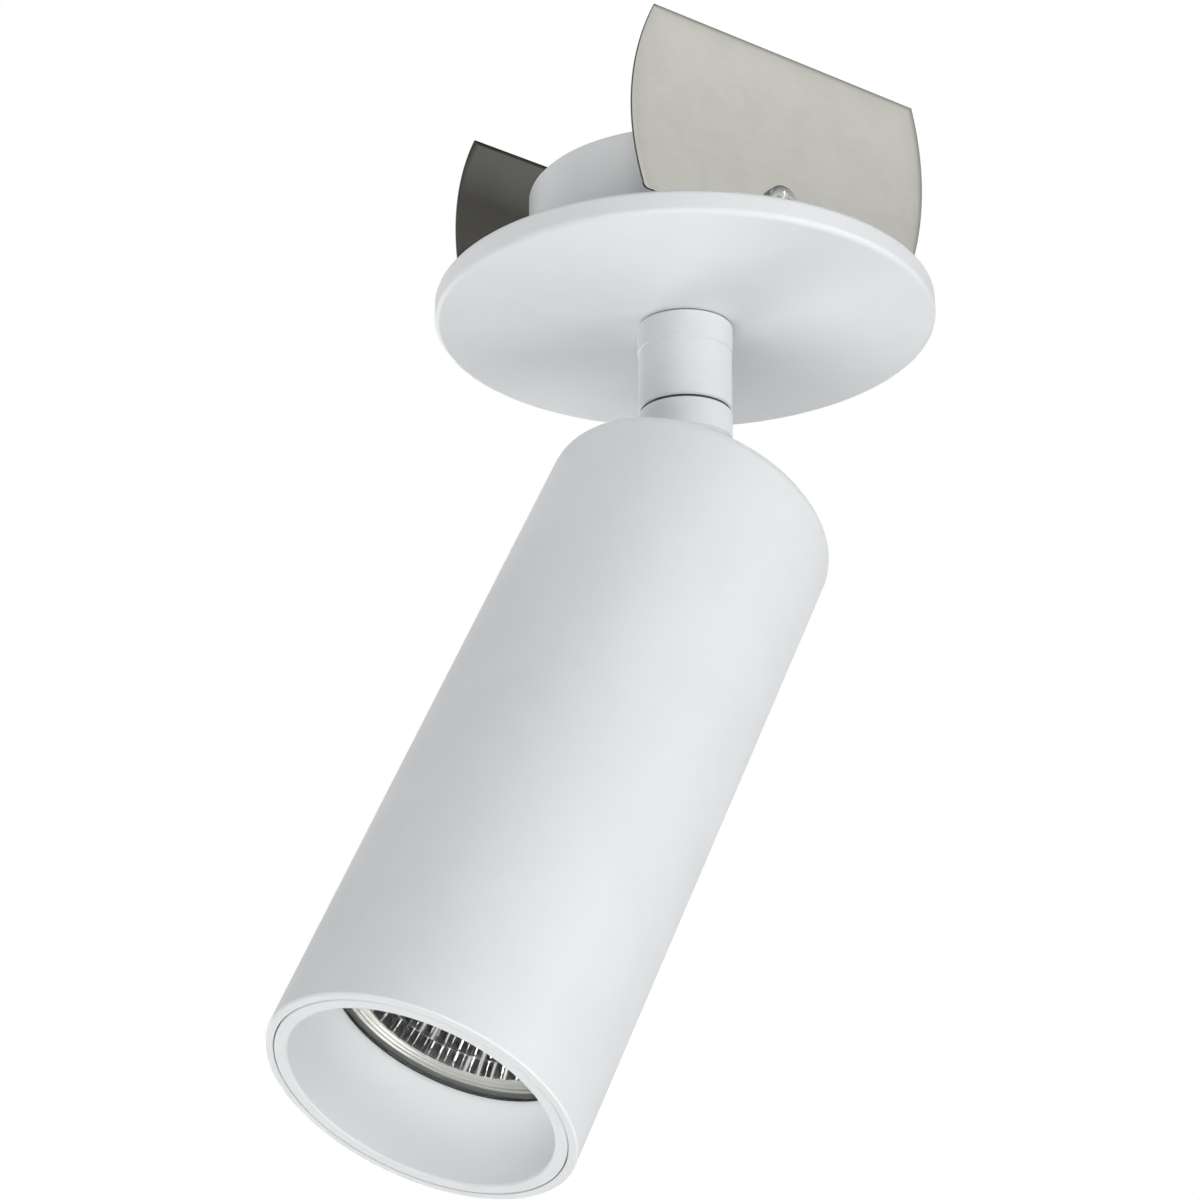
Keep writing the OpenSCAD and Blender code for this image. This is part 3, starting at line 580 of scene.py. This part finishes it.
# Lock washer: a hardened steel washer with teeth round its rim, stamped and zinc plated, which bites
# under the lock nut and keeps it from working loose.
dress(plated_steel, "lock_washer")


# Lock nut: a thin brass hexagon nut, milled from bar and chamfered at both ends, which holds the
# nipple in the collar.
nut_clearance = 0.00002
nut_bore_chamfer = 0.0004
nut_chamfer_angle = math.radians(30)
# Radius of the chamfer circle as a share of the distance to the flats
nut_chamfer_circle = 0.985


def nut_grid(low_z, high_z, flat, bore):
    """A hexagon nut: the distance to the flats divided by the cosine of the angle from a flat's middle.

    Where that passes the chamfer circle, both ends fall off at the chamfer's angle. Rows go from the
    bore over the lower face, up the flats and back over the upper face.
    """
    angle = np.linspace(0, 2*np.pi, 120, endpoint=False)
    corner = flat/np.cos(angle % (np.pi/3) - np.pi/6)
    circle = flat*nut_chamfer_circle + 0*angle
    fall = (corner - circle)*math.tan(nut_chamfer_angle)
    mouth = bore + nut_bore_chamfer
    rows = [
        (bore + 0*angle, low_z + nut_bore_chamfer + 0*angle), (mouth + 0*angle, low_z + 0*angle),
        (circle, low_z + 0*angle), (corner, low_z + fall),
        (corner, high_z - fall), (circle, high_z + 0*angle),
        (mouth + 0*angle, high_z + 0*angle), (bore + 0*angle, high_z - nut_bore_chamfer + 0*angle),
    ]
    return np.stack([np.stack([r*np.cos(angle), r*np.sin(angle), z], -1) for r, z in rows])


low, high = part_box("lock_nut")
nipple_radius = nodes["hollow_nipple"].dimensions.x/2
grid = nut_grid(low.z, high.z, high.y, nipple_radius + nut_clearance)
nut = shape_from_grid("lock_nut_hexagon", grid, crease=25, wrap_rows=True)
nut.data.materials.append(brass)
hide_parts("lock_nut")
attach(nut, "trim")


# Cable bush: a flanged bush of black nylon, pressed into the nipple's top so that the thread can't
# cut the supply cable.
def make_black_nylon():
    """Moulded black nylon: a satin skin with a faint grey bloom."""
    finish, tree, shader = new_finish("black_nylon")
    grain = place(tree, fine_grain, Scale=1900.0, Specks=0.2)
    marks = place(tree, handling, Scale=210.0)
    colour = blend_colour(tree, (0.026, 0.026, 0.027), (0.042, 0.042, 0.043), marks.outputs["Mask"])
    tree.links.new(colour, shader.inputs["Base Color"])
    tree.links.new(spread(tree, marks.outputs["Mask"], 0.38, 0.52), shader.inputs["Roughness"])
    add_bump(tree, shader, grain.outputs["Height"], 0.00001)
    return finish


black_nylon = make_black_nylon()
dress(black_nylon, "cable_bush")


# Stem: a cap ring that screws onto the nipple and closes the tube of the upper stem. Both are
# turned from aluminium and coated white.
dress(white_paint, "stem_cap_ring", "upper_stem")


# Swivel bush: a flanged bush of sintered bronze, pressed into the stem's floor, in which the hollow
# bolt turns.
def make_bronze():
    """Sintered bronze: a dull oily skin, full of fine pores."""
    finish, tree, shader = new_finish("bronze")
    grain = place(tree, fine_grain, Scale=5200.0, Specks=0.7)
    colour = blend_colour(tree, (0.35, 0.22, 0.12), (0.62, 0.44, 0.27), grain.outputs["Height"])
    tree.links.new(colour, shader.inputs["Base Color"])
    tree.links.new(spread(tree, grain.outputs["Height"], 0.65, 0.4), shader.inputs["Roughness"])
    add_bump(tree, shader, grain.outputs["Height"], 0.00003)
    set_shader(shader, Metallic=1.0)
    return finish


bronze = make_bronze()
dress(bronze, "swivel_bush")


# Swivel: a hollow bolt hangs the lower stem in the bush, on a disc spring that keeps it stiff. A
# nylon washer shows dark in the split, and a pin in the lower stem runs in a groove up to its stop.
dress(plated_steel, "disc_spring", "swivel_bolt", "stop_pin")
dress(black_nylon, "split_washer")


# Lower stem: turned from one aluminium bar and milled to a flat tongue with a round end, bored for
# the wires and coated white.
dress(white_paint, "lower_stem")


# Tilt joint: two socket screws with plain noses carry the tongue in the cap's slot, with a thin
# nylon washer on each side for friction.
dress(plated_steel, "pivot_screws")
dress(black_nylon, "friction_washers")


# Head: an aluminium tube spun in at its top over a turned cap, which is slotted for the tongue.
# Both are coated white.
dress(white_paint, "head_cap", "head_shell")


# Heat sink: an extruded aluminium star, left bare, which hangs under the cap on three turned brass
# posts and carries the light source.
def make_bare_aluminium():
    """Extruded aluminium: die lines along the bar and a soft grey oxide."""
    finish, tree, shader = new_finish("bare_aluminium")
    marks = place(tree, handling, Scale=120.0)
    grain = place(tree, fine_grain, Scale=2100.0, Specks=0.5)
    colour = blend_colour(tree, (0.80, 0.81, 0.82), (0.66, 0.67, 0.69), marks.outputs["Mask"])
    tree.links.new(colour, shader.inputs["Base Color"])
    tree.links.new(spread(tree, marks.outputs["Mask"], 0.3, 0.46), shader.inputs["Roughness"])
    add_bump(tree, shader, grain.outputs["Height"], 0.000008)
    set_shader(shader, Metallic=1.0)
    return finish


bare_aluminium = make_bare_aluminium()
dress(bare_aluminium, "heat_sink")
dress(brass, "spacer_posts")


# Light source: a square aluminium board with a disc of yellow phosphor inside a white silicone dam,
# pressed onto the heat sink by a moulded holder with two screws.
def head_axes():
    """The head's pivot and its three axes: X to the side that it leans to, Z up along its tube."""
    joint = next(j for j in frame["joints"] if j["name"] == "tilt")
    across = -np.array(joint["axis"])
    across /= np.linalg.norm(across)
    forward = np.array([across[1], -across[0], 0.0])
    lean = -math.radians(joint["range_deg"][0])
    axis_x = forward*math.cos(lean) + np.array([0, 0, 1])*math.sin(lean)
    axis_z = np.array([0, 0, 1])*math.cos(lean) - forward*math.sin(lean)
    return np.array(joint["pos_m"]), np.stack([axis_x, across, axis_z])


head_pivot, head_rows = head_axes()


def to_row(points):
    """Points in the head's own frame, moved to where the head is."""
    return points @ head_rows + head_pivot


def head_places(piece):
    """How far each point of a piece is from the head's axis, and how high it is along the axis."""
    at = np.zeros(len(piece.data.vertices)*3)
    piece.data.vertices.foreach_get("co", at)
    own = (at.reshape(-1, 3) - head_pivot) @ head_rows.T
    return np.hypot(own[:, 0], own[:, 1]), own[:, 2]


def head_reach(name):
    """Lowest and highest place of a CAD node along the head's axis, and its largest distance from it."""
    radius, height = head_places(nodes[name])
    return height.min(), height.max(), radius.max()


def turned_grid(profile, count):
    """A profile of radius and height carried once round the head's axis."""
    angle = np.linspace(0, 2*np.pi, count, endpoint=False)[None, :]
    radius, height = np.array(profile).T[:, :, None]
    return to_row(np.stack([radius*np.cos(angle), radius*np.sin(angle), height + 0*angle], -1))


def make_phosphor():
    """Yellow phosphor in silicone inside a white dam, told apart by the distance from the axis."""
    finish, tree, shader = new_finish("phosphor")
    grain = place(tree, fine_grain, Scale=4200.0, Specks=0.5)
    colour = blend_colour(tree, (0.78, 0.55, 0.10), (0.93, 0.72, 0.20), grain.outputs["Height"])
    dam = add(tree, "Attribute", attribute_name="dam")
    mix = add(tree, "Mix", data_type="RGBA")
    mix.inputs[7].default_value = (0.86, 0.86, 0.84, 1)
    tree.links.new(dam.outputs["Fac"], mix.inputs[0])
    tree.links.new(colour, mix.inputs[6])
    tree.links.new(mix.outputs[2], shader.inputs["Base Color"])
    tree.links.new(spread(tree, grain.outputs["Height"], 0.3, 0.5), shader.inputs["Roughness"])
    add_bump(tree, shader, grain.outputs["Height"], 0.00001)
    return finish


dam_width = 0.0008
dam_height = 0.0003
# How deep the phosphor lies under the dam's top at its rim, and how much it bulges in the middle
pool_depth = 0.0002
pool_bulge = 0.00008
emitter_low, emitter_high, emitter_radius = head_reach("led_emitter")
dam_inner = emitter_radius - dam_width
swell = np.radians(np.linspace(0, 180, 9))
dam_profile = np.stack([
    emitter_radius - dam_width/2 - dam_width/2*np.cos(swell),
    emitter_low + dam_height - dam_height*np.sin(swell),
], -1)
pool = np.linspace(0, dam_inner, 14)[:-1]
pool_z = emitter_low + pool_depth - pool_bulge*(1 - (pool/dam_inner)**2)
pool_profile = np.stack([pool, pool_z], -1)
back_profile = [[emitter_radius, emitter_high], [0, emitter_high]]
emitter_profile = np.vstack([pool_profile, dam_profile, back_profile])
emitter = shape_from_grid("led_emitter_dam", turned_grid(emitter_profile, 96), crease=40)
give(emitter, "dam", "POINT", head_places(emitter)[0] > dam_inner + 1e-6)
emitter.data.materials.append(make_phosphor())
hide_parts("led_emitter")
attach(emitter, "head")


def make_holder_plastic():
    """Moulded white plastic with a fine spark-eroded skin."""
    finish, tree, shader = new_finish("holder_plastic")
    grain = place(tree, fine_grain, Scale=2500.0, Specks=0.6)
    marks = place(tree, handling, Scale=180.0)
    colour = blend_colour(tree, (0.84, 0.84, 0.81), (0.78, 0.78, 0.75), marks.outputs["Mask"])
    tree.links.new(colour, shader.inputs["Base Color"])
    tree.links.new(spread(tree, grain.outputs["Height"], 0.4, 0.6), shader.inputs["Roughness"])
    add_bump(tree, shader, grain.outputs["Height"], 0.000015)
    return finish


dress(bare_aluminium, "led_board")
dress(make_holder_plastic(), "led_holder")
dress(plated_steel, "holder_screws")


# Reflector: a bowl spun from aluminium sheet and pressed into 48 columns and 10 rows of small mirror
# facets, bright anodised, with a flange of fine rings round its mouth that the lens presses on.
facet_columns = 48
facet_rows = 10
# Where a facet's lines of points lie between its borders
facet_shares = [0, 0.07, 0.22, 0.41, 0.59, 0.78, 0.93]
facet_swell_across = 0.00013
facet_swell_along = 0.00006
# How dull each kind of border is, which also lightens its colour from the dark facet towards plain
# aluminium as a painted highlight: any border, a border with a bright painted glint and the points on
# each side of it, and the flange
border_dull = 0.4
glint_border_dull = 1.0
after_glint_dull = 0.9
before_glint_dull = 0.5
flange_dull = 1.0
glint_border_share = 0.4
reflector_wall = 0.0012
reflector_neck_radius = 0.0088
reflector_flange_width = 0.0052
reflector_flange_thickness = 0.0012
flange_rows = 52
back_rows = 12
# The flange's rings: how many, how high, and the share of the flange that they take up
flange_rings = 3
flange_ring_height = 0.00035
flange_ring_share = 0.72


def reflector_grid():
    """The bowl's parabola, cut into flat facets that each swell a little towards the axis.

    Between two row lines the radius is straight, and between two column lines it is multiplied by
    the cosine of half a column and divided by that of the angle from the facet's middle. The swell
    is the sum of two parabolas, one across the facet and one along it, that are 0 on its borders.
    Rows go on over the ringed flange and back up the plain outside.
    """
    low_z, high_z, flange_radius = head_reach("reflector")
    mouth_radius = flange_radius - reflector_flange_width
    depth = high_z - low_z
    step = np.array(facet_shares)
    row_share = np.linspace(0, 1, facet_rows + 1)
    neck_square = reflector_neck_radius**2
    row_radius = np.sqrt(neck_square + row_share*(mouth_radius**2 - neck_square))
    share = np.append((np.arange(facet_rows)[:, None] + step).ravel(), facet_rows)/facet_rows
    radius = np.interp(share, row_share, row_radius)[:, None]
    row_place = np.append(np.tile(step, facet_rows), 0)[:, None]
    pitch = 2*np.pi/facet_columns
    angle = pitch*(np.arange(facet_columns)[:, None] + step).ravel()[None, :]
    column_place = np.tile(step, facet_columns)[None, :]
    flat = np.cos(pitch/2)/np.cos((column_place - 0.5)*pitch)
    across = facet_swell_across*column_place*(1 - column_place)
    along = facet_swell_along*row_place*(1 - row_place)
    bowl = radius*flat - 4*(across + along)
    bowl_z = (high_z - depth*share)[:, None] + 0*angle
    ring_place = np.linspace(0, 1, flange_rows + 1)[1:]
    ring_turn = 2*np.pi*flange_rings*np.clip(ring_place/flange_ring_share, 0, 1)
    rings = mouth_radius + (flange_radius - mouth_radius)*ring_place
    rings_z = low_z + flange_ring_height*(0.5 - 0.5*np.cos(ring_turn))*(ring_place < flange_ring_share)
    back_share = np.linspace(1, 0, back_rows)
    wall_top = low_z + reflector_flange_thickness
    back_z = high_z - (high_z - wall_top)*back_share
    back_radius = np.interp((high_z - back_z)/depth, row_share, row_radius) + reflector_wall
    rest_radius = np.concatenate([rings, [flange_radius], back_radius])[:, None]
    rest_z = np.concatenate([rings_z, [wall_top], back_z])[:, None]
    radii = np.vstack([bowl, rest_radius + 0*angle])
    heights = np.vstack([bowl_z, rest_z + 0*angle])
    return to_row(np.stack([radii*np.cos(angle), radii*np.sin(angle), heights], -1))


def facet_dulling_glints_and_tones(rest_rows):
    """How dull each point is and how far its colour is lightened, from 0 on a facet to 1 on a border
    with a painted glint, and a tone of painted reflection for each facet's faces.

    Every border is a little dull and is painted a little lighter as a highlight. A share of the upright
    borders, drawn by chance, are painted bright and wider as glints. The flange and the outside are all
    dull.
    """
    chance = np.random.default_rng(11)
    steps = len(facet_shares)
    glinting = (chance.random((facet_rows, facet_columns)) > 1 - glint_border_share)[:, None, :]
    dull = np.zeros((facet_rows, steps, facet_columns, steps))
    dull[:, 0] = dull[..., 0] = border_dull
    dull[..., 0] = np.maximum(dull[..., 0], glint_border_dull*glinting)
    dull[..., 1] = after_glint_dull*glinting
    dull[..., -1] = before_glint_dull*np.roll(glinting, -1, 2)
    dull = dull.reshape(facet_rows*steps, -1)
    tone = np.repeat(np.repeat(chance.random((facet_rows, facet_columns)), steps, 0), steps, 1)
    rest = np.full((rest_rows, facet_columns*steps), flange_dull)
    return np.vstack([dull, rest]), np.vstack([tone, rest])


def make_mirror():
    """Bright anodised aluminium with a breath of haze. The facets are painted dark as a painted
    reflection, each in another tone drawn by chance. The pressed borders between the facets are duller
    and painted lighter as a highlight, and some are bright painted glints."""
    finish, tree, shader = new_finish("mirror_aluminium")
    marks = place(tree, handling, Scale=300.0)
    grain = place(tree, fine_grain, Scale=1300.0, Specks=0.2)
    # Painted highlight: the border value takes the colour from the dark facet towards plain aluminium,
    # and it raises the roughness
    border = add(tree, "Attribute", attribute_name="border_dull_and_highlight")
    colour = add(tree, "Mix", data_type="RGBA")
    colour.inputs[7].default_value = (0.9, 0.9, 0.85, 1)
    tone = add(tree, "Attribute", attribute_name="facet_painted_reflection")
    tree.links.new(border.outputs["Fac"], colour.inputs[0])
    # Painted reflection: each facet is dark, in a tone drawn by chance
    facet = blend_colour(tree, (0.09, 0.092, 0.094), (0.3, 0.3, 0.295), tone.outputs["Fac"])
    tree.links.new(facet, colour.inputs[6])
    tree.links.new(colour.outputs[2], shader.inputs["Base Color"])
    dull = add(tree, "Mix", {3: 0.45})
    tree.links.new(border.outputs["Fac"], dull.inputs[0])
    tree.links.new(spread(tree, marks.outputs["Mask"], 0.04, 0.1), dull.inputs[2])
    tree.links.new(dull.outputs[0], shader.inputs["Roughness"])
    add_bump(tree, shader, grain.outputs["Height"], 0.000008)
    set_shader(shader, Metallic=1.0)
    return finish


grid = reflector_grid()
reflector = shape_from_grid("reflector_facets", grid, crease=8, wrap_rows=True)
# Painted glints on borders drawn by chance, and painted reflection tones on the facets
dull, tone = facet_dulling_glints_and_tones(len(grid) - facet_rows*len(facet_shares))
give(reflector, "border_dull_and_highlight", "POINT", dull)
give(reflector, "facet_painted_reflection", "FACE", tone)
reflector.data.materials.append(make_mirror())
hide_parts("reflector")
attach(reflector, "head")


# Lens: a clear glass disc, 51 mm across and 2 mm thick, coated against reflections, which keeps dust
# out of the reflector. It lies on a rubber seal on the baffle's flange.
def make_glass():
    """Clear glass, bloomed against reflections, which the low IOR stands for, with a trace of dust."""
    finish, tree, shader = new_finish("lens_glass")
    marks = place(tree, handling, Scale=140.0)
    tree.links.new(spread(tree, marks.outputs["Mask"], 0.0, 0.03), shader.inputs["Roughness"])
    colour = blend_colour(tree, (0.985, 0.99, 0.99), (0.96, 0.965, 0.965), marks.outputs["Mask"])
    tree.links.new(colour, shader.inputs["Base Color"])
    set_shader(shader, Transmission_Weight=1.0, IOR=1.12)
    return finish


dress(make_glass(), "lens")
# Clear glass hardly casts a shadow, so light gets past the lens to the flange and the bowl.
nodes["lens"].visible_shadow = False
dress(black_rubber, "lens_gasket")


# Baffle: a deep turned cone with a lip flush with the tube's end, coated white. It snaps into the
# tube from below and hides the lens from the side.
dress(white_paint, "baffle")


# Studio: a pale floor a metre below the ceiling, which fades into the white of the room.
floor_z = -1.0
floor_radius = 4.0
floor_fade = (0.5, 2.2)


def make_floor():
    """Pale matt floor, clear towards its rim so that no horizon shows."""
    finish, tree, shader = new_finish("studio_floor")
    place_at = add(tree, "TexCoord")
    distance = add(tree, "VectorMath", operation="LENGTH")
    fade = add(tree, "MapRange", {"To Min": 1.0, "To Max": 0.0}, interpolation_type="SMOOTHSTEP")
    fade.inputs["From Min"].default_value, fade.inputs["From Max"].default_value = floor_fade
    flat = add(tree, "VectorMath", {1: (1.0, 1.0, 0.0)}, operation="MULTIPLY")
    tree.links.new(place_at.outputs["Object"], flat.inputs[0])
    tree.links.new(flat.outputs["Vector"], distance.inputs[0])
    tree.links.new(distance.outputs["Value"], fade.inputs["Value"])
    tree.links.new(fade.outputs["Result"], shader.inputs["Alpha"])
    set_shader(shader, Base_Color=(0.88, 0.88, 0.88, 1), Roughness=0.9, Specular_IOR_Level=0.1)
    return finish


angle = np.linspace(0, 2*np.pi, 96, endpoint=False)[None, :]
reach = np.linspace(0, floor_radius, 9)[:, None]
floor_grid = np.stack([reach*np.cos(angle), reach*np.sin(angle), floor_z + 0*reach*angle], -1)
floor = shape_from_grid("floor", floor_grid, crease=30)
floor.data.materials.append(make_floor())
floor.visible_transmission = False
floor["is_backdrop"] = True


# Light: soft boxes round the lamp, named as the camera sees them, and a room that is plain white to
# the camera. To metal and glass the room is white behind the lamp and bright on the right, down to a
# little below the horizon, and dim elsewhere but for one narrow gap of light low down.
aim_at = Vector((0.0, -0.02, -0.08))
box_distance = 0.9
box_side = 0.5
soft_boxes = {
    # Azimuth from +X and elevation in degrees, and power in watts
    "right_high": (45, 25, 1.19),
    "right": (30, -10, 4.43),
    "near_high": (315, 25, 1.9),
    "near_low": (300, -40, 3.62),
    "above": (270, 60, 1.19),
    "left_high": (225, 25, 1.2),
    "behind": (180, -10, 4.56),
    "below": (0, -75, 1.79),
}
boxes_out_of_reflections = ["right_high", "near_high"]
# The disc of light before the lens
bowl_light_power = 0.003
bowl_light_width = 0.046
bowl_light_gap = 0.0006
# Each strip of light in the bowl: its angle round the head from the side nearest the camera, in
# degrees, and its power in watts
bowl_strips = [(-80, 0.0013), (-15, 0.0003), (64, 0.0003)]
bowl_strip_size = (0.0012, 0.009)
bowl_strip_radius = 0.013
bowl_strip_height = 0.0052
# Azimuth and elevation in which the camera lies, as the head's mouth sees it
towards_camera = (326, -13)


def direction(azimuth, elevation):
    """A unit vector from an azimuth, turned from +X, and an elevation, both in degrees."""
    a, e = math.radians(azimuth), math.radians(elevation)
    return Vector((math.cos(a)*math.cos(e), math.sin(a)*math.cos(e), math.sin(e)))


def looking(way):
    """The turn of a lamp or camera that looks along a vector."""
    return way.to_track_quat("-Z", "Y").to_euler()


def add_lamp(name, shape, size, power, place_at, turn):
    """An area lamp that shines along its own -Z and that neither the camera nor the glass sees."""
    lamp = bpy.data.lights.new(name, "AREA")
    lamp.shape = shape
    lamp.size, lamp.size_y = size
    lamp.energy = power
    held = bpy.data.objects.new(name, lamp)
    held.location = place_at
    held.rotation_euler = turn
    held.visible_camera = held.visible_transmission = False
    bpy.context.scene.collection.objects.link(held)
    return held


for name, (azimuth, elevation, power) in soft_boxes.items():
    away = direction(azimuth, elevation)
    box = add_lamp("box_" + name, "SQUARE", (box_side, box_side), power,
                   aim_at + away*box_distance, looking(-away))
    box.visible_glossy = name not in boxes_out_of_reflections

# The bowl throws light back out through the lens. A weak disc of light before the lens stands in for it.
lens_low, lens_high, _ = head_reach("lens")
before_lens = to_row(np.array([0.0, 0.0, lens_low - bowl_light_gap]))
bowl_light = add_lamp("bowl_light", "DISK", (bowl_light_width, bowl_light_width), bowl_light_power,
                      before_lens, looking(Vector(-head_rows[2])))
bowl_light.visible_glossy = False

# Mirrored boxes don't show through the glass, so thin strips in the bowl stand in for their glints.
camera_side = head_rows @ np.array(direction(*towards_camera))
near_side = math.atan2(camera_side[1], camera_side[0])
for number, (turn, power) in enumerate(bowl_strips):
    angle = near_side + math.radians(turn)
    outward = np.array([math.cos(angle), math.sin(angle), 0.0])
    strip_at = outward*bowl_strip_radius + np.array([0.0, 0.0, lens_high + bowl_strip_height])
    face_out = outward @ head_rows
    strip_rows = np.stack([np.cross(head_rows[2], face_out), head_rows[2], face_out])
    add_lamp(f"bowl_strip_{number}", "RECTANGLE", bowl_strip_size, power,
             to_row(strip_at), Matrix(strip_rows.T).to_euler())

# What metal and glass see of the room. A pair gives the dot products or heights, as the sine of the
# elevation, between which the light comes or goes.
ambient_colour = (0.93, 0.97, 1.0)
ambient_level = 0.06
backdrop_azimuth = 146
backdrop_edge = (0.0, 0.6)
bright_side_azimuth = 5
bright_side_edge = (0.4, 0.87)
bright_side_top = (0.64, 0.52)
low_end = (-0.4, -0.12)
gap_azimuth = 350
gap_width = 0.06
gap_level = 7.0
dim_level = 0.04


def make_room():
    """The room: white to the camera, and to metal and glass a white backdrop and a bright side.

    How bright a direction is follows its dot product with the middle of the backdrop or of the
    bright side. Both end downwards at a height, and the bright side upwards too. Further down the
    room is dim, but for a bright gap where the dot product with a level direction is nearly 0.
    Matt surfaces get only the dim ambient light and the boxes.
    """
    world = bpy.data.worlds.new("white_room")
    world.use_nodes = True
    tree = world.node_tree
    wire = tree.links.new
    path = add(tree, "LightPath")
    place_at = add(tree, "TexCoord")

    height = add(tree, "SeparateXYZ")
    wire(place_at.outputs["Generated"], height.inputs["Vector"])

    def along(azimuth):
        towards = add(tree, "VectorMath", {1: direction(azimuth, 0)}, operation="DOT_PRODUCT")
        wire(place_at.outputs["Generated"], towards.inputs[0])
        return towards.outputs["Value"]

    def between(source, start, end):
        ramp = add(tree, "MapRange", {"From Min": start, "From Max": end},
                   interpolation_type="SMOOTHSTEP")
        wire(source, ramp.inputs["Value"])
        return ramp.outputs["Result"]

    def combined(operation, first, second):
        result = add(tree, "Math", operation=operation)
        wire(first, result.inputs[0])
        wire(second, result.inputs[1])
        return result.outputs[0]

    not_low = between(height.outputs["Z"], *low_end)
    low = between(height.outputs["Z"], *reversed(low_end))
    not_high = between(height.outputs["Z"], *bright_side_top)
    side = combined("MULTIPLY", between(along(bright_side_azimuth), *bright_side_edge), not_high)
    backdrop = between(along(backdrop_azimuth), *backdrop_edge)
    upper = combined("MULTIPLY", combined("MAXIMUM", backdrop, side), not_low)
    off_gap = add(tree, "Math", operation="ABSOLUTE")
    wire(along(gap_azimuth + 90), off_gap.inputs[0])
    gap = combined("MULTIPLY", between(off_gap.outputs[0], gap_width, gap_width/2), low)
    bright_gap = add(tree, "Math", {1: gap_level}, operation="MULTIPLY")
    wire(gap, bright_gap.inputs[0])
    bright = combined("ADD", spread(tree, upper, dim_level, 1.0), bright_gap.outputs[0])
    mirrored = add(tree, "Background", {"Color": (1, 1, 1, 1)})
    wire(bright, mirrored.inputs["Strength"])
    ambient = add(tree, "Background", {"Color": (*ambient_colour, 1), "Strength": ambient_level})
    white = add(tree, "Background", {"Color": (1, 1, 1, 1), "Strength": 1.0})
    sharp = combined("MAXIMUM", path.outputs["Is Glossy Ray"], path.outputs["Is Transmission Ray"])
    first = add(tree, "MixShader")
    wire(sharp, first.inputs[0])
    wire(ambient.outputs[0], first.inputs[1])
    wire(mirrored.outputs[0], first.inputs[2])
    second = add(tree, "MixShader")
    wire(path.outputs["Is Camera Ray"], second.inputs[0])
    wire(first.outputs[0], second.inputs[1])
    wire(white.outputs[0], second.inputs[2])
    wire(second.outputs[0], tree.nodes["World Output"].inputs["Surface"])
    return world


bpy.context.scene.world = make_room()
bpy.context.scene.view_settings.view_transform = "Standard"


# Camera: below the lamp and to its right, looking up at it as the photograph does.
camera_at = (0.50354, -0.35784, -0.29995)
camera_azimuth = 146.174
camera_pitch = 20.967
camera_lens = 102.30
eye = bpy.data.cameras.new("camera")
eye.lens = camera_lens
eye.sensor_width = 36
eye.clip_start = 0.01
camera = bpy.data.objects.new("camera", eye)
camera.location = camera_at
camera.rotation_euler = looking(direction(camera_azimuth, camera_pitch))
bpy.context.scene.collection.objects.link(camera)
bpy.context.scene.camera = camera

low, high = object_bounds()
